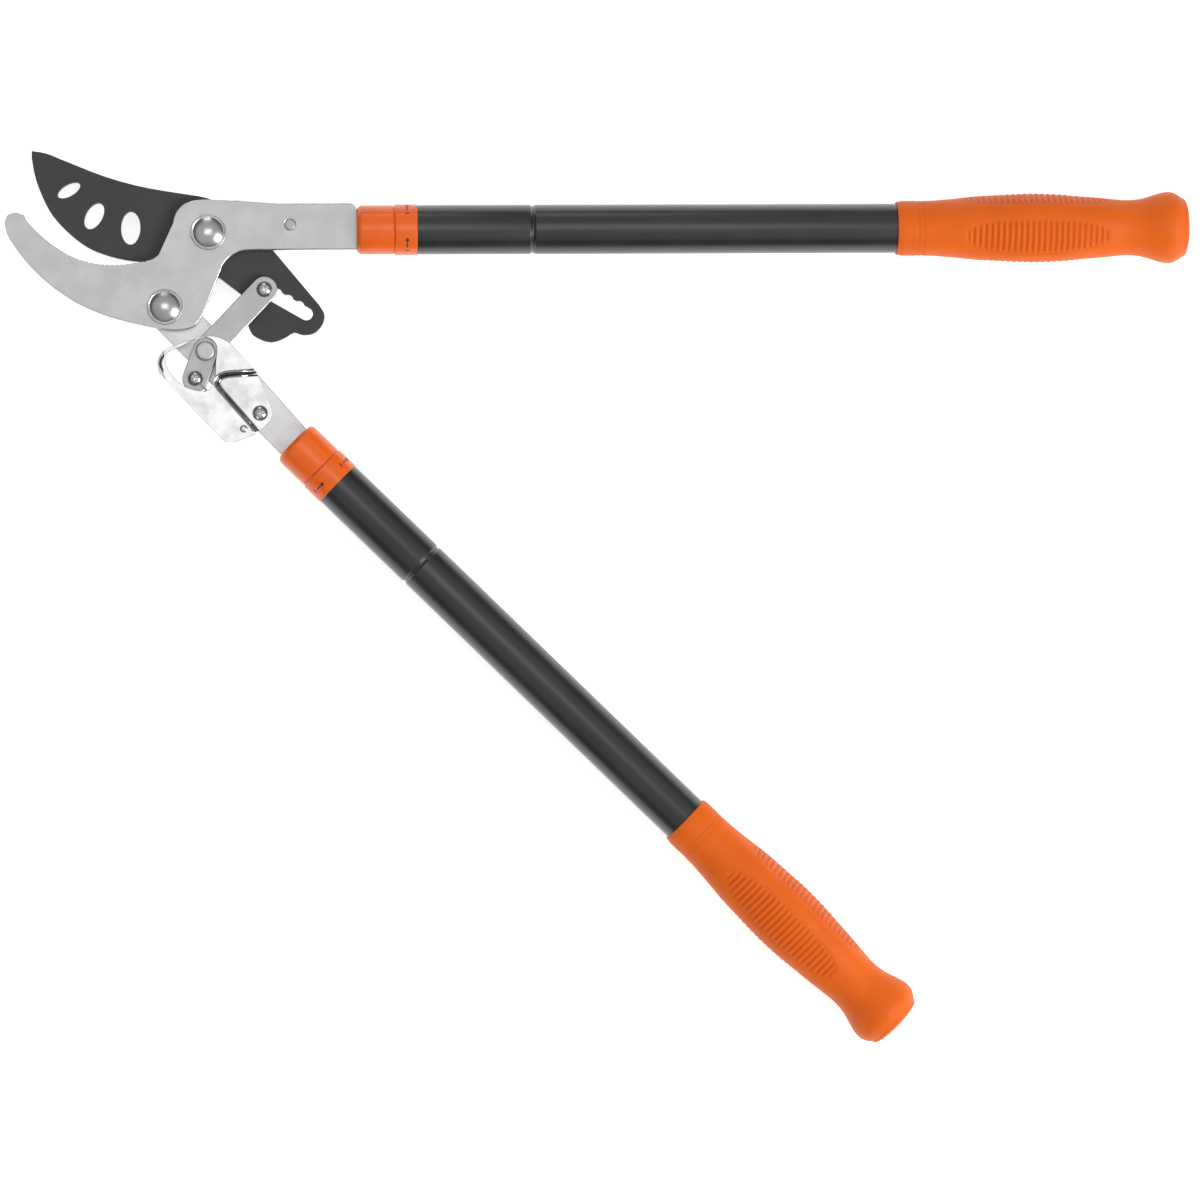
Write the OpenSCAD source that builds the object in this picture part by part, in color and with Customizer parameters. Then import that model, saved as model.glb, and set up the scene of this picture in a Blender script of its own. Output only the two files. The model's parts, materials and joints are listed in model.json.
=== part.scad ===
// Telescopic bypass loppers with a notched lever link.
//
// The tool lies flat. X runs along the upper handle from the head to the grip,
// Y runs across the tool towards the cutting blade, and Z points up from the
// surface that it lies on. All sizes are in millimetres.
//
// The head is two layers of flat steel that meet at mid height: the hook plate
// and the link in the upper layer, the cutting blade and the lower tang in the
// lower layer. Both handles are the same telescopic assembly.

/* [Head plates] */
// Thickness of the hook plate
hook_t = 5; // [4:0.5:7]
// Thickness of the cutting blade
blade_t = 4; // [3:0.5:5]
// Thickness of the lower tang
tang_t = 5; // [4:0.5:7]
// Thickness of the link and its tail
link_t = 4; // [3:0.5:4.5]
// Gap between the two layers of plates
layer_gap = 0.5; // [0.4:0.1:1]
// Width of the upper tang where it meets its collar
upper_tang_w = 27; // [23:0.5:32]
// Height of each serration along the hook's edge
serration_h = 0.5; // [0.2:0.1:1]
// Depth of the thin ground strip along the blade's cutting edge
edge_w = 3; // [1:0.5:5]
// Thickness left at the cutting edge
edge_t = 1; // [0.6:0.2:2]

/* [Pivots] */
// Handle pivot, measured back from the blade pivot
handle_pivot_back = 25.2; // [22:0.2:30]
// Handle pivot, measured down from the blade pivot
handle_pivot_drop = 43.1; // [40:0.2:50]
// Angle between the two handles
open_angle = 44.5; // [38:0.5:60]
// Diameter of the two main pivot bolts
pivot_d = 10; // [8:0.5:12]
// Radius of the rounded end of the lower tang
tang_end_r = 11.8; // [10:0.2:12.4]
// Link pivot, along the lower tang from the handle pivot
link_pivot_along = 34.2; // [32:0.2:37]
// Link pivot, across the lower tang
link_pivot_across = -2; // [-3:0.2:0]
// Distance between the two ends of the link
link_len = 49.3; // [46:0.1:51]
// Width of the link
link_w = 15; // [13:0.5:16]
// Diameter of the link's rivet
link_rivet_d = 8; // [6:0.5:9]
// Diameter of the pin that works in the blade's notches
notch_pin_d = 6; // [5:0.5:6.5]
// Play of the notch pin across its slot
notch_play = 1.5; // [1.2:0.1:2.5]
// Spacing of the notches
notch_pitch = 7.3; // [6.5:0.1:7.5]
// Diameter of the blade's stop pin
stop_pin_d = 6.4; // [5:0.2:7]

/* [Handles] */
// Outer diameter of the outer tube
tube_d = 28.6; // [23:0.1:36]
// Wall of the outer tube
tube_wall = 1.5; // [1:0.1:2]
// Wall of the inner tube
inner_wall = 1.2; // [1:0.1:2]
// Wall of the plastic bush that guides the inner tube
bush_wall = 1.7; // [1.2:0.1:2.5]
// Distance from the blade pivot to the upper collar
upper_collar_at = 85.3; // [80:0.1:110]
// Distance from the handle pivot to the lower collar
lower_collar_at = 106.9; // [102:0.1:130]
// Length of the collar cap
cap_len = 21.5; // [18:0.5:30]
// Length of the lock ring
ring_len = 13; // [10:0.5:20]
// Distance from the collar to the rolled groove in the outer tube
groove_at = 101.8; // [80:0.1:140]
// Distance from the collar to the grip
grip_at = 313.5; // [262:0.5:380]
// Length of the grip
grip_len = 171; // [140:1:210]
// How far each handle pulls out
handle_travel = 300; // [200:5:320]
// Height of the grip's swell and knob above the tube
grip_swell = 6.3; // [4:0.1:9]

/* [Spring and cover] */
// Thickness of the pressed spring cover
cover_t = 1.2; // [0.8:0.1:1.6]
// Distance of the link's tail screw from the link pivot
tail_len = 16.9; // [15:0.1:18]
// Outer diameter of the return spring
spring_d = 6.4; // [5:0.2:7]
// Wire diameter of the return spring
spring_wire = 1; // [0.8:0.1:1.4]

/* [Fits] */
// Radial clearance of a shaft in its hole
run_fit = 0.08; // [0.04:0.01:0.1]
// Clearance under a head, washer or nut that a plate turns against
side_fit = 0.1; // [0.05:0.05:0.2]
// Clearance around a tang inside its plug and collar
tang_fit = 0.05; // [0.02:0.01:0.1]
// Radial clearance of the lock cam in the outer tube
cam_fit = 0.1; // [0.05:0.05:0.2]

/* [Hidden] */
$fn = 64;

steel = [0.76, 0.76, 0.75];
blade_black = [0.27, 0.27, 0.28];
chrome = [0.88, 0.88, 0.9];
zinc = [0.7, 0.7, 0.7];
tube_black = [0.22, 0.22, 0.23];
alloy = [0.8, 0.8, 0.82];
orange = [0.91, 0.44, 0.16];
nylon = [0.15, 0.15, 0.16];

// Layers of the head, measured from the plane where they meet
front_z = layer_gap / 2;
hook_top = front_z + hook_t;
link_top = front_z + link_t;
rear_z = -layer_gap / 2;
blade_back = rear_z - blade_t;
tang_back = rear_z - tang_t;

// Lower handle: direction, pivot and the line of its tube
arm_turn = -open_angle;
pivot_h = [-handle_pivot_back, -handle_pivot_drop];
upper_axis_y = 1.6;
tang_rise = 1.65;
lower_axis_v = -3.6;

// Points on the lower arm, as [along, across] from the handle pivot
link_k = [link_pivot_along, link_pivot_across];
link_turn = 90.6;
link_l = link_k + link_len * [cos(link_turn), sin(link_turn)];
tail_turn = -65.6;
tail_p = link_k + tail_len * [cos(tail_turn), sin(tail_turn)];
anchor_c = [81.3, -18.9];
cover_screw_c = [81.5, -5.6];

// The notch pin, seen from the blade pivot
notch_l = pivot_h + [
    link_l[0] * cos(arm_turn) - link_l[1] * sin(arm_turn),
    link_l[0] * sin(arm_turn) + link_l[1] * cos(arm_turn)
];
slot_turn = -29.8;
slot_dir = [cos(slot_turn), sin(slot_turn)];
slot_up = [-sin(slot_turn), cos(slot_turn)];
slot_w = notch_pin_d + notch_play;
notch_count = 4;
stop_pin_at = [47, 4.4];

// Lightening holes in the blade: place, turn, length and width
oval_holes = [
    [[-79.9, 25.1], 30, 14.3, 6.7],
    [[-65.5, 10.2], 61, 16.4, 9.4],
    [[-44.6, 3.2], 88, 19.1, 11]
];

// Pivot hardware
pivot_head_d = pivot_d + 10.4;
pivot_dome_d = pivot_d + 7.4;
pivot_flange_t = 1.2;
pivot_dome_h = 2.8;
pivot_nut_af = pivot_d + 7;
pivot_nut_h = 7;
pivot_washer_d = pivot_nut_af + 3;
pivot_washer_t = 1.5;
pivot_tip = 1.2;
slip_washer_d = pivot_d + 12;
slip_washer_t = layer_gap - 0.2;
small_head_h = 2.2;
rivet_head_d = link_rivet_d + 3.2;
notch_head_d = notch_pin_d + 3.2;
notch_washer_d = slot_w + 5;
notch_nut_af = notch_pin_d + 4;
notch_nut_h = 3.5;
tail_screw_d = 5;
tail_head_d = 8.6;
cover_screw_d = 5;
cover_head_d = 9;

// Tubes and what goes in them
tube_r = tube_d / 2;
tube_bore = tube_d - 2 * tube_wall;
inner_d = tube_bore - 2 * bush_wall - 2 * run_fit;
inner_bore = inner_d - 2 * inner_wall;
cap_d = tube_d - 0.2;
cap_wall = 2.5;
cap_chamfer = 1.6;
ring_d = tube_d + 0.8;
ring_lip = 2;
ring_gap = 0.5;
ring_at = cap_len + ring_gap;
tube_at = ring_at + ring_len;
groove_d = 0.6;
groove_half = 1.7;
bush_end = groove_at + 6;
plug_len = 26;
tongue_len = 23;
tongue_w = inner_bore - 5.8;
rivet_d = 4;
rivet_at = [8, 17];

// Twist lock at the far end of the inner tube
tube_end = grip_at + grip_len - 19;
end_plug_len = 12;
end_plug_flange = 2;
cam_len = 16;
cam_side_gap = 0.4;
core_flange_t = 3;
core_stub = 18;
lock_washer_t = 1.5;
lock_screw_d = 5;
lock_head_h = 3.5;
lock_room = core_flange_t + cam_len + 2 * cam_side_gap + lock_washer_t + lock_head_h + 4;
inner_end = min(tube_end - end_plug_len - lock_room, bush_end + handle_travel + 12);
core_face = inner_end + core_flange_t;
cam_from = core_face + cam_side_gap;
cam_to = cam_from + cam_len;
core_end = cam_to + cam_side_gap;
core_offset = 0.6;
core_play = 0.45;
cam_d = tube_bore - 2 * cam_fit;
core_d = cam_d - 9;
cam_slit = 2;

// Grip, measured from its mouth
grip_mouth = 1.4;
grip_neck = 1.9;
// Height of the grip over the tube, at shares of its length
grip_shape = [
    [0, grip_mouth], [0.125, grip_mouth], [0.19, grip_mouth + 1.1], [0.29, grip_mouth + 3.6],
    [0.37, grip_swell - 0.2], [0.44, grip_swell], [0.55, grip_swell - 0.6],
    [0.66, grip_neck + 2.4], [0.77, grip_neck + 0.3], [0.805, grip_neck],
    [0.85, grip_neck + 1.2], [0.905, grip_swell - 0.3], [0.935, grip_swell], [0.96, grip_swell - 0.8],
    [0.982, grip_neck + 0.6]
];
grip_side = [
    for (p = curve(grip_shape, 2)) [grip_at + p[0] * grip_len, tube_r + p[1]]
];
grip_r = max([for (p = grip_side) p[1]]);

// Spring cover, in the lower arm's [along, across]
plateau_top = link_top + 2.6;
plateau_under = plateau_top - cover_t;
flange_low = -4.6;
foot_top = rear_z + cover_t;

// Middle of the whole tool, so that the origin is under it
tip_x = -116.5;
spine_y = 47.9;
far_x = upper_collar_at + grip_at + grip_len;
low_y = pivot_h[1] + min([
    for (p = grip_side)
        (lower_collar_at + p[0]) * sin(arm_turn) + (lower_axis_v - p[1]) * cos(arm_turn)
]);
shift = [-(tip_x + far_x) / 2, -(spine_y + low_y) / 2, grip_r];

// ---------- helpers ----------

// One point of a smooth curve between b and c
function between(a, b, c, d, t) =
    (2 * b + (c - a) * t + (2 * a - 5 * b + 4 * c - d) * t * t
    + (3 * b - a - 3 * c + d) * t * t * t) / 2;

// A smooth curve through the points, without its last point
function curve(p, steps) = [
    for (i = [0:len(p) - 2], s = [0:steps - 1])
        between(p[max(i - 1, 0)], p[i], p[i + 1], p[min(i + 2, len(p) - 1)], s / steps)
];

// A smooth closed curve through the points
function loop(p, steps) = [
    for (i = [0:len(p) - 1], s = [0:steps - 1])
        between(
            p[(i + len(p) - 1) % len(p)], p[i],
            p[(i + 1) % len(p)], p[(i + 2) % len(p)], s / steps)
];

// An arc as points
function arc(c, r, from, to, n) = [
    for (i = [0:n]) let (a = from + (to - from) * i / n) c + r * [cos(a), sin(a)]
];

// The same curve with every other point pushed sideways into a tooth
function serrated(p, h) = [
    for (i = [0:len(p) - 1])
        let (
            d = p[min(i + 1, len(p) - 1)] - p[max(i - 1, 0)],
            side = [-d[1], d[0]] / norm(d)
        )
        i % 2 == 0 ? p[i] : p[i] - h * side
];

module in_place() {
    translate(shift) children();
}

// From the handle pivot, with X along the lower arm
module on_arm() {
    translate([pivot_h[0], pivot_h[1], 0]) rotate([0, 0, arm_turn]) children();
}

module on_upper_handle() {
    in_place() translate([upper_collar_at, upper_axis_y, 0]) children();
}

module on_lower_handle() {
    in_place() on_arm() translate([lower_collar_at, lower_axis_v, 0]) children();
}

// A flat plate from an outline
module plate(outline, low, high) {
    translate([0, 0, low]) linear_extrude(high - low) polygon(outline);
}

module disc(at, d, low, high) {
    translate([at[0], at[1], low]) cylinder(d = d, h = high - low);
}

module washer(at, d, bore, low, high) {
    difference() {
        disc(at, d, low, high);
        disc(at, bore, low - 1, high + 1);
    }
}

module hex_nut(at, af, bore, low, high) {
    difference() {
        translate([at[0], at[1], low]) cylinder(d = af / cos(30), h = high - low, $fn = 6);
        disc(at, bore, low - 1, high + 1);
    }
}

// A domed cap of given base and height, standing on z = low
module dome(at, d, h, low) {
    r = (d * d / 4 + h * h) / (2 * h);
    translate([at[0], at[1], low]) rotate_extrude() intersection() {
        translate([0, h - r]) circle(r, $fn = 96);
        square([d / 2, h]);
    }
}

// A cross recess cut down from z = top
module cross_cut(at, size, top, depth) {
    translate([at[0], at[1], top]) for (a = [45, 135]) rotate([0, 0, a])
        cube([size, size / 4.5, 2 * depth], center = true);
}

// Turned about the handle's axis from [along, radius] points
module turned(profile) {
    rotate([0, 90, 0]) rotate_extrude() polygon([for (p = profile) [p[1], p[0]]]);
}

module pipe(from, to, d, bore) {
    turned([[from, bore / 2], [from, d / 2], [to, d / 2], [to, bore / 2]]);
}

// ---------- head plates ----------

hook_nose = [[-110.1, 11.9], [-114.8, 10.4], [-116.5, 6.2], [-116.2, 2.7]];
hook_belly = [
    [-116.2, 2.7], [-113.7, -3.7], [-104.5, -16.5], [-93, -28.2],
    [-81.4, -36.9], [-69.9, -43.4], [-52.5, -49.9], [-29.3, -55.2],
    [-17.7, -56.3], [-9, -54.2], [-3.8, -48.4]
];
hook_notch = [[6.8, -22.4], [9.2, -17.7], [12.7, -14], [17.3, -11.4], [22, -10.4], [28.9, -10.2]];
hook_shoulder = [
    [-20.3, 5.6], [-18.5, 11.4], [-13.2, 16.6], [-2.8, 18.9], [23.3, 18.2]
];
jaw_back = [
    [-79, -13.8], [-72.6, -16.3], [-63.9, -18.4], [-55.2, -19.1], [-46.5, -18.6],
    [-34.9, -16.6], [-30.8, -14.9], [-28.5, -12.9]
];
jaw_tip = [
    [-105.5, 10.2], [-103.8, 6.7], [-98.6, 0.9], [-92.8, -4.4], [-87.1, -8.7], [-79, -13.8]
];

// Outline of the hook and the upper tang, with the tongue for the collar
function hook_outline() =
    let (
        top_y = upper_axis_y + upper_tang_w / 2 + tang_rise,
        low_y = top_y - upper_tang_w,
        end_x = upper_collar_at - tang_fit
    )
    concat(
        curve(hook_nose, 4),
        curve(hook_belly, 5),
        [[-3.8, -48.4]],
        curve(hook_notch, 3),
        [[40, low_y], [end_x, low_y]],
        [
            [end_x, upper_axis_y - tongue_w / 2],
            [end_x + tongue_len, upper_axis_y - tongue_w / 2],
            [end_x + tongue_len, upper_axis_y + tongue_w / 2],
            [end_x, upper_axis_y + tongue_w / 2]
        ],
        arc([end_x - 4, top_y - 4], 4, 0, 90, 5),
        [[40, top_y]],
        [for (i = [len(hook_shoulder) - 1:-1:1]) each hook_back_span(i)],
        [[-20.3, 5.6], [-28.5, -12.9]],
        serrated(flipped(curve(jaw_back, 6)), serration_h),
        flipped(curve(jaw_tip, 5))
    );

// The shoulder's curve is walked from the tang back to the jaw
function hook_back_span(i) =
    let (c = curve(hook_shoulder, 4)) [for (s = [0:3]) c[min(i * 4 - s, len(c) - 1)]];

function flipped(p) = [for (i = [len(p) - 1:-1:0]) p[i]];

module hook_plate() {
    color(steel) in_place() difference() {
        plate(hook_outline(), front_z, hook_top);
        disc([0, 0], pivot_d + 2 * run_fit, 0, hook_top + 1);
        disc(pivot_h, pivot_d + 2 * run_fit, 0, hook_top + 1);
        disc(stop_pin_at, stop_pin_d, 0, hook_top + 1);
        for (x = rivet_at) disc([upper_collar_at + x, upper_axis_y], rivet_d, 0, hook_top + 1);
    }
}

blade_edge = [
    [-101.2, 43.8], [-98.4, 29.9], [-91, 13], [-81.2, 1.3], [-69.6, -7.9],
    [-58.1, -12.8], [-46.5, -15.6], [-34.9, -16.9]
];
blade_heel = [[-34.9, -16.9], [-20, -20], [-8, -23.4], [6.2, -25.8]];
blade_spine = [
    [37.6, -10.4], [28, 6], [16, 14.4], [4.7, 18.5], [-5.7, 21.6],
    [-34.6, 26.3], [-58, 32.6], [-81, 41.6], [-92.5, 46.4], [-101.2, 47.9]
];
tail_end = [
    [63.6, -41.8], [66.6, -47.3], [65.4, -53], [60.6, -58], [54, -59],
    [49, -57.6], [43.2, -60.9], [36, -63.1], [28.6, -61], [23.2, -55.5], [18.4, -35.2]
];

function blade_outline(inset) = concat(
    [for (p = curve(blade_edge, 4)) p + inset * [0.55, 0.83]],
    [[-34.9, -16.9] + inset * [0, 1]],
    curve(blade_heel, 2),
    [[6.2, -25.8], [18.4, -35.2]],
    flipped(curve(tail_end, 3)),
    curve(blade_spine, 3),
    [[-101.2 + inset * 0.55, 47.9]]
);

// The slot that the notch pin works in, with its notches on the upper side
module notched_slot() {
    near = notch_l - 1.2 * slot_dir;
    far = notch_l + (notch_count - 0.2) * notch_pitch * slot_dir;
    translate([0, 0, blade_back - 1]) linear_extrude(blade_t + 2) {
        translate(near) rotate([0, 0, slot_turn])
            translate([0, -slot_w / 2]) square([norm(far - near), slot_w]);
        translate(near) circle(d = slot_w);
        translate(far) circle(d = slot_w);
        for (i = [1:notch_count - 1])
            translate(notch_l + i * notch_pitch * slot_dir + 1.6 * slot_up) circle(d = notch_pin_d + 0.6);
    }
}

// A lightening hole, an ellipse
module oval_hole(at, turn, length, width) {
    outline = [for (a = [0:5:355]) [length / 2 * cos(a), width / 2 * sin(a)]];
    translate([at[0], at[1], blade_back - 1]) rotate([0, 0, turn])
        linear_extrude(blade_t + 2) polygon(outline);
}

module cutting_blade() {
    color(blade_black) in_place() difference() {
        union() {
            plate(blade_outline(0), rear_z - edge_t, rear_z);
            plate(blade_outline(edge_w), blade_back, rear_z - edge_t);
        }
        disc([0, 0], pivot_d + 2 * run_fit, blade_back - 1, 0);
        notched_slot();
        for (h = oval_holes) oval_hole(h[0], h[1], h[2], h[3]);
    }
}

// Outline of the lower tang, in [along, across]
function tang_outline() =
    let (end_x = lower_collar_at - tang_fit)
    concat(
        arc([0, 0], tang_end_r, 90, 268, 20),
        [
            [105.1, -14.3], [end_x, -14.3],
            [end_x, lower_axis_v - tongue_w / 2],
            [end_x + tongue_len, lower_axis_v - tongue_w / 2],
            [end_x + tongue_len, lower_axis_v + tongue_w / 2],
            [end_x, lower_axis_v + tongue_w / 2],
            [end_x, 6.6], [42, 11.4]
        ]
    );

module lower_tang() {
    color(steel) in_place() on_arm() difference() {
        plate(tang_outline(), tang_back, rear_z);
        disc([0, 0], pivot_d + 2 * run_fit, tang_back - 1, 0);
        disc(link_k, link_rivet_d, tang_back - 1, 0);
        disc(cover_screw_c, cover_screw_d, tang_back - 1, 0);
        for (x = rivet_at)
            disc([lower_collar_at + x, lower_axis_v], rivet_d, tang_back - 1, 0);
    }
}

// Outline of the link, bent at its pivot between its long arm and its tail
function link_outline() =
    let (
        r = link_w / 2,
        right = link_turn - 90,
        tail_right = tail_turn + 90,
        bend = (right + tail_right) / 2
    )
    concat(
        arc(link_l, r, right, right + 180, 16),
        arc(link_k, r, right + 180, tail_right + 180, 3),
        arc(tail_p, r, tail_right - 180, tail_right, 16),
        [link_k + r / cos(bend - right) * [cos(bend), sin(bend)]]
    );

module link_bar() {
    color(steel) in_place() on_arm() difference() {
        plate(link_outline(), front_z, link_top);
        disc(link_k, link_rivet_d + 2 * run_fit, 0, link_top + 1);
        disc(link_l, notch_pin_d, 0, link_top + 1);
        disc(tail_p, tail_screw_d, 0, link_top + 1);
    }
}

// ---------- pivot hardware ----------

module pivot_bolt(at, back) {
    disc(at, pivot_head_d, hook_top, hook_top + pivot_flange_t);
    dome(at, pivot_dome_d, pivot_dome_h, hook_top + pivot_flange_t);
    disc(at, pivot_d, back - side_fit - pivot_washer_t - pivot_nut_h - pivot_tip, hook_top);
}

module pivot_washer(at, back) {
    washer(at, pivot_washer_d, pivot_d, back - side_fit - pivot_washer_t, back - side_fit);
}

module pivot_nut(at, back) {
    top = back - side_fit - pivot_washer_t;
    hex_nut(at, pivot_nut_af, pivot_d, top - pivot_nut_h, top);
}

module slip_washer(at) {
    washer(at, slip_washer_d, pivot_d + 2 * run_fit, front_z - slip_washer_t, front_z);
}

module blade_bolt() {
    color(chrome) in_place() pivot_bolt([0, 0], blade_back);
}

module blade_bolt_washer() {
    color(zinc) in_place() pivot_washer([0, 0], blade_back);
}

module blade_bolt_nut() {
    color(zinc) in_place() pivot_nut([0, 0], blade_back);
}

module blade_slip_washer() {
    color(nylon) in_place() slip_washer([0, 0]);
}

module handle_bolt() {
    color(chrome) in_place() pivot_bolt(pivot_h, tang_back);
}

module handle_bolt_washer() {
    color(zinc) in_place() pivot_washer(pivot_h, tang_back);
}

module handle_bolt_nut() {
    color(zinc) in_place() pivot_nut(pivot_h, tang_back);
}

module handle_slip_washer() {
    color(nylon) in_place() slip_washer(pivot_h);
}

module stop_pin() {
    color(zinc) in_place() {
        disc(stop_pin_at, stop_pin_d, blade_back, hook_top);
        dome(stop_pin_at, stop_pin_d, 0.6, hook_top);
    }
}

module link_rivet() {
    color(zinc) in_place() on_arm() {
        disc(link_k, link_rivet_d, tang_back, link_top + side_fit);
        disc(link_k, rivet_head_d, link_top + side_fit, link_top + side_fit + small_head_h);
        dome(link_k, rivet_head_d, 1.8, link_top + side_fit + small_head_h);
        mirror([0, 0, 1]) dome(link_k, rivet_head_d, 2, -tang_back);
    }
}

module notch_screw() {
    color(chrome) in_place() on_arm() difference() {
        union() {
            disc(link_l, notch_pin_d, blade_back - side_fit - 1.2 - notch_nut_h - 0.6, link_top);
            dome(link_l, notch_head_d, small_head_h, link_top);
        }
        cross_cut(link_l, notch_head_d * 0.55, link_top + small_head_h, 1.4);
    }
}

module notch_washer() {
    color(zinc) in_place() on_arm()
        washer(link_l, notch_washer_d, notch_pin_d, blade_back - side_fit - 1.2, blade_back - side_fit);
}

module notch_nut() {
    top = blade_back - side_fit - 1.2;
    color(zinc) in_place() on_arm() hex_nut(link_l, notch_nut_af, notch_pin_d, top - notch_nut_h, top);
}

// ---------- spring and cover ----------

module tail_screw() {
    seat = link_top + spring_wire + 0.2;
    color(chrome) in_place() on_arm() difference() {
        union() {
            disc(tail_p, tail_screw_d, front_z, seat);
            dome(tail_p, tail_head_d, small_head_h, seat);
        }
        cross_cut(tail_p, tail_head_d * 0.55, seat + small_head_h, 1.4);
    }
}

// A wire ring lying flat round a screw
module wire_ring(at, bore, low) {
    translate([at[0], at[1], low + spring_wire / 2]) rotate_extrude()
        translate([bore / 2 + spring_wire / 2, 0]) circle(d = spring_wire, $fn = 16);
}

module return_spring() {
    d = anchor_c - tail_p;
    span = norm(d);
    clear_of_link = link_w / 2 + 1.4;
    body_len = span - clear_of_link - 4.4;
    axis_z = 1.2;
    arm_h = link_top + 0.1 + spring_wire - (axis_z - spring_wire / 2);
    color(chrome) in_place() on_arm() {
        wire_ring(tail_p, tail_screw_d + 0.2, link_top + 0.1);
        wire_ring(anchor_c, 3.4, axis_z - spring_wire / 2);
        translate([tail_p[0], tail_p[1], 0]) rotate([0, 0, atan2(d[1], d[0])]) {
            translate([clear_of_link, 0, axis_z]) rotate([0, 90, 0]) difference() {
                cylinder(d = spring_d, h = body_len);
                translate([0, 0, -1]) cylinder(d = spring_d - 2 * spring_wire, h = body_len + 2);
            }
            translate([tail_screw_d / 2 + 0.3, -spring_wire / 2, link_top + 0.1])
                cube([clear_of_link - tail_screw_d / 2 + 0.7, spring_wire, spring_wire]);
            translate([clear_of_link, -spring_wire / 2, axis_z - spring_wire / 2])
                cube([spring_wire, spring_wire, arm_h]);
            translate([clear_of_link, -spring_d / 2 + 0.2, axis_z - spring_wire / 2])
                cube([spring_wire, spring_d - 0.4, spring_wire]);
            translate([clear_of_link + body_len - spring_wire, -spring_d / 2 + 0.2, axis_z - spring_wire / 2])
                cube([spring_wire, spring_d - 0.4, spring_wire]);
            translate([clear_of_link + body_len - spring_wire, -spring_wire / 2, axis_z - spring_wire / 2])
                cube([4.4 - 1.9 + spring_wire, spring_wire, spring_wire]);
        }
    }
}

module spring_anchor() {
    color(zinc) in_place() on_arm() {
        disc(anchor_c, 3, -1, plateau_top);
        disc(anchor_c, 4.6, -1.6, -1);
        dome(anchor_c, 4.6, 1, plateau_top);
    }
}

cover_rim = [
    [42.4, 11.3], [37.1, 10.1], [31.7, 7.3], [27.9, 2.9], [23.3, -4.9], [19.5, -11.8],
    [16.9, -18.3], [17.3, -22.8], [19.3, -26.5], [23.5, -29.5]
];
cover_tail = [[77, -31.9], [79.5, -31.2], [83.3, -27.5], [85.8, -21.8], [88.3, -16.9]];
step_corner = [[55.6, 0.4], [52.2, -3.8], [50.8, -7.6], [52.3, -10.7], [56.3, -11.8]];
step_line = concat([[64.1, 9.7]], curve(step_corner, 3), [[56.3, -11.8], [87.6, -14.5]]);
foot_edge = [[87.6, -14.5], [88.5, -11], [88.5, -4.6], [87.1, -1.1], [83.7, 1.2], [64.1, 9.7]];
window_edge = [
    [21.9, -11.6], [19.9, -16.3], [20.4, -20], [22.8, -22.9], [28.5, -25.1], [37.8, -25.6],
    [45, -22.8], [50.3, -19], [51.2, -15], [49.5, -9.8], [43.2, -2.6], [37.2, 4.4],
    [31, 4.9], [26.4, 0.4]
];

function plateau_outline() = concat(
    curve(cover_rim, 3),
    [[23.5, -29.5]],
    curve(cover_tail, 3),
    [[88.3, -16.9]],
    flipped(step_line)
);

// The same line moved sideways, to its left for a positive width
function beside(p, width) = [
    for (i = [0:len(p) - 1])
        let (
            before = p[max(i, 1)] - p[max(i, 1) - 1],
            after = p[min(i + 1, len(p) - 1)] - p[min(i + 1, len(p) - 1) - 1],
            n0 = [-before[1], before[0]] / norm(before),
            n1 = [-after[1], after[0]] / norm(after),
            mid = (n0 + n1) / norm(n0 + n1)
        )
        p[i] + width / (mid * n0) * mid
];

// A thin wall standing on the left of a line
module wall_along(p, width, low, high) {
    plate(concat(p, flipped(beside(p, width))), low, high);
}

module spring_cover() {
    flange_line = concat(
        [for (p = curve(cover_rim, 3)) if (p[1] < -14) p],
        [[23.5, -29.5], cover_tail[0]]
    );
    sink = cover_t / 2;
    color(chrome) in_place() on_arm() difference() {
        union() {
            plate(plateau_outline(), plateau_under, plateau_top);
            plate(foot_edge_outline(), rear_z, foot_top);
            wall_along(flange_line, cover_t, flange_low, plateau_under + sink);
            wall_along(step_line, -cover_t, rear_z, plateau_under + sink);
        }
        plate(loop(window_edge, 3), plateau_under - 0.5, plateau_top + 1);
        disc(cover_screw_c, cover_screw_d, rear_z - 1, foot_top + 1);
        disc(anchor_c, 3, plateau_under - 1, plateau_top + 1);
    }
}

function foot_edge_outline() = concat(
    foot_edge, [for (i = [1:len(step_line) - 2]) step_line[i]]
);

module cover_screw() {
    color(chrome) in_place() on_arm() difference() {
        union() {
            disc(cover_screw_c, cover_screw_d, tang_back - 0.8, foot_top);
            dome(cover_screw_c, cover_head_d, small_head_h, foot_top);
        }
        cross_cut(cover_screw_c, cover_head_d * 0.55, foot_top + small_head_h, 1.4);
    }
}

// ---------- handle pieces, along X from the collar's face ----------

// layer is 1 where the tongue lies above the middle and -1 below it
module tongue_hole(layer, t, from, to) {
    low = layer > 0 ? front_z - tang_fit : rear_z - t - tang_fit;
    translate([from, -tongue_w / 2 - tang_fit, low])
        cube([to - from, tongue_w + 2 * tang_fit, t + 2 * tang_fit]);
}

module cap(layer, t) {
    color(orange) difference() {
        turned([
            [0, 0], [0, cap_d / 2 - cap_chamfer], [cap_chamfer, cap_d / 2],
            [cap_len, cap_d / 2], [cap_len, 0]
        ]);
        translate([cap_wall, 0, 0]) rotate([0, 90, 0]) cylinder(d = inner_d, h = cap_len);
        tongue_hole(layer, t, -1, cap_wall + 1);
    }
}

module tang_plug(layer, t) {
    color(nylon) difference() {
        pipe(cap_wall, cap_wall + plug_len, inner_bore, 0);
        tongue_hole(layer, t, 0, tongue_len);
        for (x = rivet_at) translate([x, 0, -inner_d]) cylinder(d = rivet_d, h = 2 * inner_d);
    }
}

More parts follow.
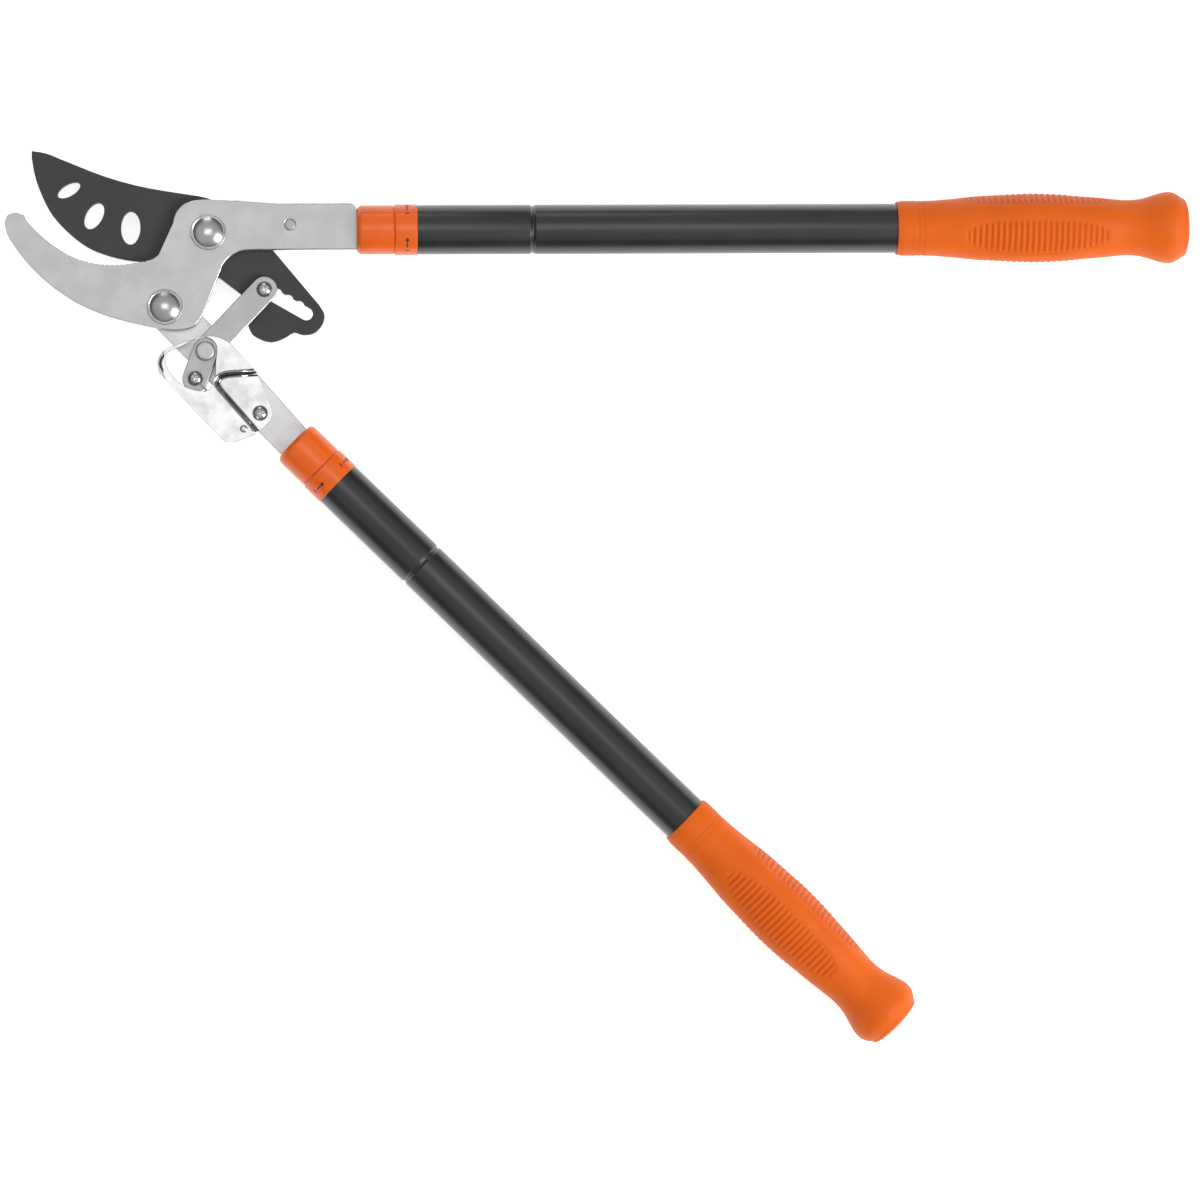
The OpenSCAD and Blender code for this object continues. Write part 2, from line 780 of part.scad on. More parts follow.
module tang_rivets() {
    reach = sqrt(inner_d * inner_d / 4 - rivet_d * rivet_d / 4) - 0.1;
    color(zinc) for (x = rivet_at) translate([x, 0, -reach]) cylinder(d = rivet_d, h = 2 * reach);
}

module inner_tube() {
    color(alloy) difference() {
        pipe(cap_wall, inner_end, inner_d, inner_bore);
        for (x = rivet_at) translate([x, 0, -inner_d]) cylinder(d = rivet_d, h = 2 * inner_d);
    }
}

module lock_core() {
    color(nylon) difference() {
        union() {
            pipe(inner_end - core_stub, inner_end, inner_bore, 0);
            pipe(inner_end, core_face, inner_d, 0);
            translate([core_face, core_offset, 0]) rotate([0, 90, 0])
                cylinder(d = core_d, h = core_end - core_face);
        }
        translate([core_end - 14, 0, 0]) rotate([0, 90, 0]) cylinder(d = lock_screw_d, h = 20);
    }
}

module lock_cam() {
    color(nylon) difference() {
        pipe(cam_from, cam_to, cam_d, 0);
        translate([cam_from - 1, core_offset, 0]) rotate([0, 90, 0])
            cylinder(d = core_d + 2 * core_play, h = cam_len + 2);
        translate([cam_from - 1, -cam_d, -cam_slit / 2]) cube([cam_len + 2, cam_d, cam_slit]);
    }
}

module lock_washer() {
    color(zinc) pipe(core_end, core_end + lock_washer_t, cam_d - 3, lock_screw_d);
}

module lock_screw() {
    top = core_end + lock_washer_t;
    color(zinc) difference() {
        union() {
            pipe(core_end - 13, top, lock_screw_d, 0);
            pipe(top, top + lock_head_h, lock_screw_d + 4, 0);
        }
        translate([top + lock_head_h, 0, 0]) for (a = [0, 90]) rotate([a, 0, 0])
            cube([4, 5, 1.1], center = true);
    }
}

module lock_ring() {
    color(orange) turned([
        [ring_at, inner_d / 2 + 4 * run_fit], [ring_at, ring_d / 2 - 0.5], [ring_at + 0.5, ring_d / 2],
        [tube_at, ring_d / 2], [tube_at, tube_bore / 2],
        [ring_at + ring_lip, tube_bore / 2], [ring_at + ring_lip, inner_d / 2 + 4 * run_fit]
    ]);
}

module guide_bush() {
    color(nylon) turned([
        [ring_at + ring_lip, inner_d / 2 + run_fit], [ring_at + ring_lip, tube_bore / 2],
        [groove_at - groove_half, tube_bore / 2], [groove_at - 0.6, tube_bore / 2 - groove_d],
        [groove_at + 0.6, tube_bore / 2 - groove_d], [groove_at + groove_half, tube_bore / 2],
        [bush_end, tube_bore / 2], [bush_end, inner_d / 2 + run_fit]
    ]);
}

module outer_tube() {
    color(tube_black) turned([
        [tube_at, tube_bore / 2], [tube_at, tube_r],
        [groove_at - groove_half, tube_r], [groove_at - 0.6, tube_r - groove_d],
        [groove_at + 0.6, tube_r - groove_d], [groove_at + groove_half, tube_r],
        [tube_end, tube_r], [tube_end, tube_bore / 2],
        [groove_at + groove_half, tube_bore / 2], [groove_at + 0.6, tube_bore / 2 - groove_d],
        [groove_at - 0.6, tube_bore / 2 - groove_d], [groove_at - groove_half, tube_bore / 2]
    ]);
}

module grip() {
    color(orange) turned(concat(
        [[grip_at, tube_r]],
        grip_side,
        [
            [grip_at + 0.982 * grip_len, tube_r + grip_neck + 0.6],
            [grip_at + 0.995 * grip_len, tube_r - 3],
            [grip_at + grip_len, tube_r - 8],
            [grip_at + grip_len, 0],
            [tube_end + end_plug_flange, 0],
            [tube_end + end_plug_flange, tube_r]
        ]
    ));
}

module end_plug() {
    color(nylon) difference() {
        union() {
            pipe(tube_end - end_plug_len, tube_end, tube_bore, 0);
            pipe(tube_end, tube_end + end_plug_flange, tube_d, 0);
        }
        translate([tube_end - end_plug_len - 1, 0, 0]) rotate([0, 90, 0])
            cylinder(d = tube_bore - 5, h = end_plug_len - 1);
    }
}

// ---------- the two handles ----------

module upper_cap() { on_upper_handle() cap(1, hook_t); }
module upper_tang_plug() { on_upper_handle() tang_plug(1, hook_t); }
module upper_tang_rivets() { on_upper_handle() tang_rivets(); }
module upper_inner_tube() { on_upper_handle() inner_tube(); }
module upper_lock_core() { on_upper_handle() lock_core(); }
module upper_lock_cam() { on_upper_handle() lock_cam(); }
module upper_lock_washer() { on_upper_handle() lock_washer(); }
module upper_lock_screw() { on_upper_handle() lock_screw(); }
module upper_lock_ring() { on_upper_handle() lock_ring(); }
module upper_guide_bush() { on_upper_handle() guide_bush(); }
module upper_outer_tube() { on_upper_handle() outer_tube(); }
module upper_grip() { on_upper_handle() grip(); }
module upper_end_plug() { on_upper_handle() end_plug(); }

module lower_cap() { on_lower_handle() cap(-1, tang_t); }
module lower_tang_plug() { on_lower_handle() tang_plug(-1, tang_t); }
module lower_tang_rivets() { on_lower_handle() tang_rivets(); }
module lower_inner_tube() { on_lower_handle() inner_tube(); }
module lower_lock_core() { on_lower_handle() lock_core(); }
module lower_lock_cam() { on_lower_handle() lock_cam(); }
module lower_lock_washer() { on_lower_handle() lock_washer(); }
module lower_lock_screw() { on_lower_handle() lock_screw(); }
module lower_lock_ring() { on_lower_handle() lock_ring(); }
module lower_guide_bush() { on_lower_handle() guide_bush(); }
module lower_outer_tube() { on_lower_handle() outer_tube(); }
module lower_grip() { on_lower_handle() grip(); }
module lower_end_plug() { on_lower_handle() end_plug(); }

hook_plate();
cutting_blade();
lower_tang();
link_bar();
blade_bolt();
blade_bolt_washer();
blade_bolt_nut();
blade_slip_washer();
handle_bolt();
handle_bolt_washer();
handle_bolt_nut();
handle_slip_washer();
stop_pin();
link_rivet();
notch_screw();
notch_washer();
notch_nut();
tail_screw();
return_spring();
spring_anchor();
spring_cover();
cover_screw();
upper_cap();
upper_tang_plug();
upper_tang_rivets();
upper_inner_tube();
upper_lock_core();
upper_lock_cam();
upper_lock_washer();
upper_lock_screw();
upper_lock_ring();
upper_guide_bush();
upper_outer_tube();
upper_grip();
upper_end_plug();
lower_cap();
lower_tang_plug();
lower_tang_rivets();
lower_inner_tube();
lower_lock_core();
lower_lock_cam();
lower_lock_washer();
lower_lock_screw();
lower_lock_ring();
lower_guide_bush();
lower_outer_tube();
lower_grip();
lower_end_plug();
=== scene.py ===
import json
import math

import bmesh
import bpy
from mathutils import Matrix, Vector


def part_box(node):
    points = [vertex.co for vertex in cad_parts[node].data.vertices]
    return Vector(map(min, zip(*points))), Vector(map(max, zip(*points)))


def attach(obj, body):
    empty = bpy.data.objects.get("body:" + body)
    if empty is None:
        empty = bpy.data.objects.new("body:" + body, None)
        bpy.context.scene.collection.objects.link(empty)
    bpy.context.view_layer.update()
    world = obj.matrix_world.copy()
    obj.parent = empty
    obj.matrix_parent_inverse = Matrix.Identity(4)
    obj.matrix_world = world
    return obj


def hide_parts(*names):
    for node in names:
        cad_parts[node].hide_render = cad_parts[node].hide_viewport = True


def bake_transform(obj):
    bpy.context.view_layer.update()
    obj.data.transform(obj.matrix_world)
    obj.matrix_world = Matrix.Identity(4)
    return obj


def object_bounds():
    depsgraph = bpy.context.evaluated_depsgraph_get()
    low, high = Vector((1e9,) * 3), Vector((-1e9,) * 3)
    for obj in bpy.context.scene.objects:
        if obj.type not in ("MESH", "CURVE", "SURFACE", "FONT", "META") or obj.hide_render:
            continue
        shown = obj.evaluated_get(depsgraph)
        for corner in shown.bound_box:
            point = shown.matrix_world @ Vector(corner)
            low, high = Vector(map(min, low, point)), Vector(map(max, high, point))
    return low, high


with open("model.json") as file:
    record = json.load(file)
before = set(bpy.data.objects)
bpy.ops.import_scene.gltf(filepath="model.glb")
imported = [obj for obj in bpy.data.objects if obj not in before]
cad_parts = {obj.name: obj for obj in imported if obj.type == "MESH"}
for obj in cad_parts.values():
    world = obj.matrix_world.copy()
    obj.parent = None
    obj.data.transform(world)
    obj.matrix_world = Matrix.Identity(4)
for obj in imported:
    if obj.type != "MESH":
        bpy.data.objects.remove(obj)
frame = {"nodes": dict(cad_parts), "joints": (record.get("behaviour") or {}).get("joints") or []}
cadLow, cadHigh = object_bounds()
joints = {joint["name"]: joint for joint in frame["joints"]}
mm = 0.001


# Camera, lights and floor

cameraView = {
    "lookAt": (-0.00243, -0.00239, 0.0207),  # metres
    "tilt": (0.0364, -0.0644, -0.0076),  # radians, about X, Y and Z
    "distance": 3.0,
    "lens": 155.7,
}


def makeCamera():
    data = bpy.data.cameras.new("studioCamera")
    data.type = "PERSP"
    data.sensor_width = 36
    data.lens = cameraView["lens"]
    data.clip_start = 0.05
    data.clip_end = 20
    camera = bpy.data.objects.new("studioCamera", data)
    turn = Matrix.Identity(4)
    for angle, axis in zip(cameraView["tilt"], "XYZ"):
        turn = turn @ Matrix.Rotation(angle, 4, axis)
    back = turn @ Vector((0, 0, cameraView["distance"]))
    camera.matrix_world = Matrix.Translation(Vector(cameraView["lookAt"]) + back) @ turn
    bpy.context.scene.collection.objects.link(camera)
    bpy.context.scene.camera = camera


# Each panel: place, the point it faces, width, height, watts
panels = {
    "softBox": ((-0.25, 0.40, 1.9), (-0.25, 0.40, 0), 1.0, 0.75, 3.9),
    "backPanel": ((-0.36, 2.04, 0.80), (0, 0.2, 0), 0.9, 0.5, 3),
    "rightPanel": ((1.43, -0.61, 1.56), (0, 0, 0), 1.0, 1.0, 28),
}
room = {"overhead": 0.57, "low": 0.10, "startsAt": 0.42, "fullAt": 0.62}


def makeLights():
    for name, (place, target, width, height, watts) in panels.items():
        light = bpy.data.lights.new(name, "AREA")
        light.shape = "RECTANGLE"
        light.size = width
        light.size_y = height
        light.energy = watts
        lamp = bpy.data.objects.new(name, light)
        lamp.location = place
        aim = Vector(target) - Vector(place)
        lamp.rotation_euler = aim.to_track_quat("-Z", "Y").to_euler()
        bpy.context.scene.collection.objects.link(lamp)


def makeRoom():
    # A soft light tent: bright overhead, darker towards the walls
    world = bpy.data.worlds.new("studioRoom")
    world.use_nodes = True
    tree = world.node_tree
    where = tree.nodes.new("ShaderNodeTexCoord")
    parts = tree.nodes.new("ShaderNodeSeparateXYZ")
    rise = tree.nodes.new("ShaderNodeMapRange")
    rise.interpolation_type = "SMOOTHSTEP"
    tree.links.new(where.outputs["Generated"], parts.inputs[0])
    tree.links.new(parts.outputs["Z"], rise.inputs["Value"])
    rise.inputs["From Min"].default_value = room["startsAt"]
    rise.inputs["From Max"].default_value = room["fullAt"]
    rise.inputs["To Min"].default_value = room["low"]
    rise.inputs["To Max"].default_value = room["overhead"]
    tree.links.new(rise.outputs[0], tree.nodes["Background"].inputs["Strength"])
    tree.nodes["Background"].inputs["Color"].default_value = (1, 1, 1, 1)
    bpy.context.scene.world = world
    bpy.context.scene.view_settings.view_transform = "Standard"


makeCamera()
makeLights()
makeRoom()
print("camera and lights placed")


# Finishes

class Wire:
    # One output of a node, so that maths on it adds nodes
    def __init__(self, finish, socket):
        self.finish = finish
        self.socket = socket

    def maths(self, operation, first, second):
        return self.finish.add("ShaderNodeMath", {"operation": operation}, {0: first, 1: second})

    def __add__(self, other):
        return self.maths("ADD", self, other)

    def __sub__(self, other):
        return self.maths("SUBTRACT", self, other)

    def __rsub__(self, other):
        return self.maths("SUBTRACT", other, self)

    def __mul__(self, other):
        return self.maths("MULTIPLY", self, other)

    __radd__ = __add__
    __rmul__ = __mul__

    def ramped(self, low, high):
        # 0 below low, 1 above high, smooth between
        return self.finish.add(
            "ShaderNodeMapRange", {"interpolation_type": "SMOOTHSTEP"},
            {"Value": self, "From Min": low, "From Max": high})


class Finish:
    def __init__(self, name, **values):
        self.material = bpy.data.materials.new(name)
        self.material.use_nodes = True
        self.tree = self.material.node_tree
        self.shader = self.tree.nodes["Principled BSDF"]
        self.where = self.add("ShaderNodeTexCoord", output="Object")
        for key, value in values.items():
            self.set(key, value)

    def add(self, kind, settings=None, values=None, output=0):
        node = self.tree.nodes.new(kind)
        for key, value in (settings or {}).items():
            setattr(node, key, value)
        for key, value in (values or {}).items():
            self.feed(node.inputs[key], value)
        return Wire(self, node.outputs[output])

    def feed(self, socket, value):
        if isinstance(value, Wire):
            self.tree.links.new(value.socket, socket)
        else:
            socket.default_value = value

    def set(self, key, value):
        # baseColor stands for the socket Base Color
        words = "".join(" " + c if c.isupper() else c for c in key).strip().title()
        self.feed(self.shader.inputs[words.replace("I O R", "IOR")], value)

    def noise(self, size, detail=3.0, stretch=None, rough=0.5):
        # size is a speckle's width in mm; stretch squeezes the pattern along X, Y and Z
        where = self.where
        if stretch:
            where = self.add("ShaderNodeMapping", values={"Vector": where, "Scale": stretch})
        return self.add("ShaderNodeTexNoise", values={
            "Vector": where, "Scale": 1 / (size * mm), "Detail": detail, "Roughness": rough})

    def mark(self, name):
        return self.add("ShaderNodeAttribute", {"attribute_name": name}, output="Fac")

    def blend(self, share, first, second):
        return self.add(
            "ShaderNodeMix", {"data_type": "RGBA"},
            {"Factor": share, 6: first, 7: second}, output=2)

    def bump(self, height, depth, strength=1.0):
        # depth in mm
        self.feed(self.shader.inputs["Normal"], self.add("ShaderNodeBump", values={
            "Height": height, "Distance": depth * mm, "Strength": strength}))


def grey(level, warm=0.0):
    return (level * (1 + warm), level, level * (1 - warm), 1)


steelLook = {"light": 0.51, "dark": 0.47, "roughness": 0.37, "grainSize": 0.42, "grainDepth": 0.04}


def blastedSteelFinish(name, share):
    # share scales the steel's tone; its lighter and darker copies paint light and shade on some
    # parts
    look = steelLook
    finish = Finish(name, metallic=1.0)
    grain = finish.noise(look["grainSize"], 2, rough=0.7)
    cloud = finish.noise(14, 3).ramped(0.3, 0.7)
    speck = finish.noise(0.8, 2).ramped(0.62, 0.72)
    wornAndSheen = finish.mark("edgeWearAndSheen") * finish.noise(3.5, 2).ramped(0.25, 0.6)
    tone = finish.blend(cloud, grey(look["dark"] * share), grey(look["light"] * share))
    tone = finish.blend(speck * 0.3, tone, grey(0.28))
    tone = finish.blend(grain.ramped(0.35, 0.65) * 0.14, tone, grey(0.72))
    # Marked edges are painted lighter: a painted edge highlight, partly also worn bare steel
    finish.set("baseColor", finish.blend(wornAndSheen * 0.6, tone, grey(0.75)))
    finish.set("roughness", look["roughness"] + 0.10 * cloud + 0.08 * grain - 0.16 * wornAndSheen)
    finish.bump(grain * (1 - 0.8 * wornAndSheen), look["grainDepth"])
    return finish.material


bladeLook = {"coat": 0.042, "bare": 0.17, "roughness": 0.48}


def coatedBladeFinish():
    look = bladeLook
    finish = Finish("coatedBladeFinish", specularIORLevel=0.35)
    grain = finish.noise(0.25, 3, rough=0.65)
    cloud = finish.noise(18, 3).ramped(0.3, 0.7)
    streak = finish.noise(1.6, 3, stretch=(0.35, 2.4, 1)).ramped(0.5, 0.75)
    wornAndSheen = finish.mark("edgeWearAndSheen") * finish.noise(2.6, 3).ramped(0.2, 0.55)
    ground = finish.mark("ground")
    tone = finish.blend(cloud, grey(look["coat"] * 0.9), grey(look["coat"] * 1.14))
    tone = finish.blend(streak * 0.12, tone, grey(look["coat"] * 1.9))
    # Marked edges show lighter bare steel: wear, and also a painted edge highlight
    tone = finish.blend(wornAndSheen * 0.5, tone, grey(look["bare"]))
    scratched = finish.noise(0.4, 2, stretch=(1, 6, 1)).ramped(0.3, 0.7)
    finish.set("baseColor", finish.blend(
        ground, tone, finish.blend(scratched, grey(0.42), grey(0.6))))
    finish.set("metallic", ground)
    finish.set("roughness", look["roughness"] + 0.08 * cloud - 0.14 * wornAndSheen - 0.12 * ground)
    finish.bump(grain, 0.02, 0.7)
    return finish.material


def platedFinish(name, light, dark, roughness, smudge, metal=1.0):
    # Chrome and zinc plate: mirror-like, with faint smudges and fine marks
    finish = Finish(name, metallic=metal)
    cloud = finish.noise(9, 4).ramped(0.35, 0.75)
    fine = finish.noise(0.5, 3)
    hair = finish.noise(0.16, 2, stretch=(1, 0.08, 1)).ramped(0.66, 0.72)
    wornAndSheen = finish.mark("edgeWearAndSheen")
    tone = finish.blend(cloud, grey(light, -0.006), grey(dark, -0.006))
    # Marked edges are painted a little lighter: a painted edge highlight
    finish.set("baseColor", finish.blend(wornAndSheen * 0.3, tone, grey(light + 0.06)))
    finish.set("roughness", roughness + smudge * cloud + 0.5 * smudge * fine + 0.05 * hair)
    finish.bump(fine + 0.4 * hair, 0.006, 0.5)
    return finish.material


tubeLook = {"dark": 0.010, "light": 0.014, "roughness": 0.28}


def tubeCoatFinish():
    look = tubeLook
    finish = Finish("tubeCoatFinish", coatWeight=0.5, coatRoughness=0.24)
    peel = finish.noise(0.9, 2, rough=0.45)
    fine = finish.noise(0.22, 2, rough=0.6)
    cloud = finish.noise(30, 3).ramped(0.3, 0.7)
    dust = finish.noise(0.7, 3, rough=0.7).ramped(0.68, 0.76)
    tone = finish.blend(cloud, grey(look["dark"]), grey(look["light"]))
    finish.set("baseColor", finish.blend(dust * 0.25, tone, grey(0.14)))
    finish.set("roughness", look["roughness"] + 0.06 * cloud + 0.12 * fine)
    finish.bump(peel * 0.8 + fine * 0.25, 0.03, 0.8)
    return finish.material


def drawnAlloyFinish():
    finish = Finish("drawnAlloyFinish", metallic=1.0)
    line = finish.noise(0.5, 4, rough=0.7)
    cloud = finish.noise(20, 3).ramped(0.3, 0.7)
    finish.set("baseColor", finish.blend(line * 0.4 + cloud * 0.3, grey(0.62), grey(0.82)))
    finish.set("roughness", 0.22 + 0.16 * line + 0.05 * cloud)
    finish.bump(line, 0.015, 0.8)
    return finish.material


capLook = {"deep": (0.84, 0.122, 0.002, 1), "bright": (0.92, 0.148, 0.005, 1), "roughness": 0.30}


def orangeCapFinish():
    look = capLook
    finish = Finish(
        "orangeCapFinish", specularIORLevel=0.3, coatWeight=0.4, coatRoughness=0.14,
        subsurfaceWeight=0.06, subsurfaceScale=0.002)
    flow = finish.noise(16, 3).ramped(0.3, 0.7)
    fine = finish.noise(0.3, 3, rough=0.6)
    haze = finish.noise(2.4, 3)
    finish.set("baseColor", finish.blend(flow * 0.6 + haze * 0.3, look["deep"], look["bright"]))
    finish.set("roughness", look["roughness"] + 0.10 * haze + 0.06 * fine)
    finish.bump(fine * 0.5 + haze * 0.5, 0.012, 0.6)
    return finish.material


gripLook = {"deep": (0.76, 0.122, 0.003, 1), "bright": (0.85, 0.146, 0.006, 1), "roughness": 0.48}


def orangeGripFinish():
    look = gripLook
    finish = Finish(
        "orangeGripFinish", specularIORLevel=0.25, subsurfaceWeight=0.05, subsurfaceScale=0.002)
    stipple = finish.noise(0.45, 2, rough=0.6)
    flow = finish.noise(26, 3).ramped(0.3, 0.7)
    rub = finish.noise(5, 4).ramped(0.45, 0.8)
    paintedGrooveShade = finish.mark("paintedGrooveShade")
    tone = finish.blend(flow * 0.7 + stipple * 0.2, look["deep"], look["bright"])
    # Grooves, ring lines and panel edge lines are painted darker orange: painted shade in the
    # recesses
    finish.set("baseColor", finish.blend(paintedGrooveShade * 0.35, tone, (0.46, 0.060, 0.004, 1)))
    finish.set("roughness", look["roughness"] + 0.12 * stipple - 0.06 * rub + 0.08 * paintedGrooveShade)
    finish.bump(stipple, 0.05, 0.7)
    return finish.material


def nylonFinish(name, level):
    finish = Finish(name)
    fine = finish.noise(0.35, 3, rough=0.65)
    cloud = finish.noise(8, 3).ramped(0.3, 0.7)
    finish.set("baseColor", finish.blend(cloud, grey(level), grey(level * 1.5)))
    finish.set("roughness", 0.42 + 0.14 * fine + 0.06 * cloud)
    finish.bump(fine, 0.03, 0.6)
    return finish.material


def floorFinish():
    finish = Finish("paleFloorFinish")
    cloud = finish.noise(120, 3)
    finish.set("baseColor", finish.blend(cloud, grey(0.88), grey(0.91)))
    finish.set("roughness", 0.6 + 0.1 * cloud)
    finish.set("emissionColor", (1, 1, 1, 1))
    finish.set("emissionStrength", 0.7)  # a lit table washes the shadows out
    return finish.material


blastedSteel = blastedSteelFinish("blastedSteelFinish", 1.0)
# A darker copy of the blasted steel: painted shade on the link and the stop pin
shadedLinkSteel = blastedSteelFinish("shadedLinkSteelFinish", 0.86)
# A lighter copy of the blasted steel: painted light on the lower tang
litTangSteel = blastedSteelFinish("litTangSteelFinish", 1.32)
coatedBlade = coatedBladeFinish()
chromePlate = platedFinish("chromePlateFinish", 0.44, 0.33, 0.055, 0.06)
boltChrome = platedFinish("boltChromeFinish", 0.56, 0.42, 0.18, 0.12)
zincPlate = platedFinish("zincPlateFinish", 0.55, 0.43, 0.26, 0.12)
tubeCoat = tubeCoatFinish()
drawnAlloy = drawnAlloyFinish()
orangeCap = orangeCapFinish()
orangeGrip = orangeGripFinish()
blackNylon = nylonFinish("blackNylonFinish", 0.018)
markInk = nylonFinish("markInkFinish", 0.02)
paleFloor = floorFinish()
print("finishes mixed")


# Workshop tools

def finishPiece(name, shape, body, finish, stands=(), crease=32, plate=False):
    # The mesh becomes a piece that rides on a body. Edges sharper than crease stay crisp,
    # and a plate's level faces stay flat
    mesh = bpy.data.meshes.new(name)
    shape.to_mesh(mesh)
    shape.free()
    mesh.materials.append(finish)
    mesh.set_sharp_from_angle(angle=math.radians(crease))
    for polygon in mesh.polygons:
        polygon.use_smooth = not (plate and abs(polygon.normal.z) > 0.9995)
    piece = bpy.data.objects.new(name, mesh)
    bpy.context.scene.collection.objects.link(piece)
    if body:
        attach(piece, body)
    if stands:
        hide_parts(*stands)
    return piece


def rounded(corners, steps=5):
    # A line through [along, radius, fillet] corners in mm, with each corner rounded
    line = []
    for i, corner in enumerate(corners):
        here = Vector(corner[:2])
        fillet = corner[2] if len(corner) > 2 else 0
        if not fillet or i in (0, len(corners) - 1):
            line.append(here)
            continue
        before = (Vector(corners[i - 1][:2]) - here)
        after = (Vector(corners[i + 1][:2]) - here)
        reach = min(fillet, before.length * 0.49, after.length * 0.49)
        start = here + before.normalized() * reach
        end = here + after.normalized() * reach
        for s in range(steps + 1):
            t = s / steps
            line.append(start * (1 - t) ** 2 + here * 2 * t * (1 - t) + end * t * t)
    return line


def lathe(line, steps=96, closed=False):
    # Spins [along, radius] points in mm round X
    shape = bmesh.new()
    verts = [shape.verts.new((p[0] * mm, p[1] * mm, 0)) for p in line]
    edges = [shape.edges.new(pair) for pair in zip(verts, verts[1:])]
    if closed:
        edges.append(shape.edges.new((verts[-1], verts[0])))
    bmesh.ops.spin(
        shape, geom=verts + edges, cent=(0, 0, 0), axis=(1, 0, 0),
        angle=2 * math.pi, steps=steps, use_merge=True)
    bmesh.ops.remove_doubles(shape, verts=shape.verts, dist=1e-6)
    bmesh.ops.recalc_face_normals(shape, faces=shape.faces)
    return shape


upright = Matrix.Rotation(math.radians(-90), 4, "Y")  # turns X up to Z


def standOn(shape, x, y, z, turn=0.0):
    # Stands a lathe-made shape on a point, its X pointing up
    bmesh.ops.transform(
        shape, verts=shape.verts,
        matrix=Matrix.Translation((x, y, z)) @ Matrix.Rotation(turn, 4, "Z") @ upright)
    return shape


def moved(shape, matrix):
    bmesh.ops.transform(shape, verts=shape.verts, matrix=matrix)
    return shape


def copyOf(node):
    # The CAD node's mesh, merged, with its flat faces joined
    shape = bmesh.new()
    shape.from_mesh(frame["nodes"][node].data)
    bmesh.ops.remove_doubles(shape, verts=shape.verts, dist=2e-6)
    bmesh.ops.dissolve_limit(
        shape, angle_limit=math.radians(1.0), verts=shape.verts, edges=shape.edges)
    return shape


def rimEdges(shape, pick=None, sharp=50):
    # The edges round flat faces: level edges with a sharp corner
    found = []
    for edge in shape.edges:
        if len(edge.link_faces) != 2:
            continue
        a, b = edge.verts
        if abs(a.co.z - b.co.z) > 1e-5:
            continue
        if math.degrees(edge.calc_face_angle(0)) < sharp:
            continue
        if pick is None or pick((a.co + b.co) / 2):
            found.append(edge)
    return found


def soften(shape, edges, width, segments=3, profile=0.5):
    # Rounds the edges over and marks the new faces for wear and a painted edge highlight
    wearAndSheenLayer = shape.faces.layers.float.get("edgeWearAndSheen") or shape.faces.layers.float.new("edgeWearAndSheen")
    made = bmesh.ops.bevel(
        shape, geom=edges, offset=width * mm, offset_type="OFFSET", segments=segments,
        profile=profile, affect="EDGES", clamp_overlap=False, material=-1, loop_slide=False)
    for face in made["faces"]:
        face[wearAndSheenLayer] = 1.0
    return shape


def refill(shape, height):
    # Fills the level top at this height again, after bends have moved its outline
    level = {
        f for f in shape.faces
        if abs(f.normal.z) > 0.99 and all(abs(v.co.z - height) < 1e-5 for v in f.verts)}
    edges = [e for e in shape.edges if any(f in level for f in e.link_faces)]
    inner = [e for e in edges if all(f in level for f in e.link_faces)]
    outline = [e for e in edges if not all(f in level for f in e.link_faces)]
    bmesh.ops.delete(shape, geom=[f for f in shape.faces if f in level], context="FACES_ONLY")
    bmesh.ops.delete(shape, geom=inner, context="EDGES")
    made = bmesh.ops.triangle_fill(shape, use_beauty=True, edges=outline, normal=(0, 0, 1))
    for face in [g for g in made["geom"] if isinstance(g, bmesh.types.BMFace)]:
        if face.normal.z < 0:
            face.normal_flip()


def middle(node):
    low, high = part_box(node)
    return (low + high) / 2


def top(node):
    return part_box(node)[1].z


def bottom(node):
    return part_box(node)[0].z


def discAt(name, line, at, z, body, finish, stands, turn=0.0, steps=72, crease=32):
    shape = standOn(lathe(line, steps), at.x, at.y, z, turn)
    return finishPiece(name, shape, body, finish, stands, crease)


bladePivot = Vector(joints["blade_pivot"]["pos_m"])
handlePivot = Vector(joints["handle_pivot"]["pos_m"])
axisZ = bladePivot.z
armAxis = Vector(joints["lower_extend"]["axis"])
armTurn = math.atan2(armAxis.y, armAxis.x)


# Head plates

plateEdges = {"hook": 0.45, "teeth": 0.18, "tang": 0.9, "link": 0.5, "lowerTang": 0.5}
# Where each kind of edge lies on the hook plate, in mm from the blade's pivot
hookZones = {"teethX": (-82, -27), "teethY": (-21, -11), "tangX": (4, 84), "tangY": (-9, 14)}


def hookPlate():
    shape = copyOf("hook_plate")

    def within(value, zone):
        return hookZones[zone][0] < value / mm < hookZones[zone][1]

    def isTeeth(p):
        away = p - bladePivot
        return within(away.x, "teethX") and within(away.y, "teethY")

    def isTang(p):
        away = p - bladePivot
        return within(away.x, "tangX") and not within(away.y, "tangY")

    soften(shape, rimEdges(shape, isTeeth), plateEdges["teeth"], 2)
    soften(shape, rimEdges(shape, isTang), plateEdges["tang"], 4)

    def isRest(p):
        collar = bladePivot.x + hookZones["tangX"][1] * mm
        return not isTeeth(p) and not isTang(p) and p.x < collar

    soften(shape, rimEdges(shape, isRest), plateEdges["hook"], 3)
    finishPiece("hookPlate", shape, "head", blastedSteel, ["hook_plate"], plate=True)


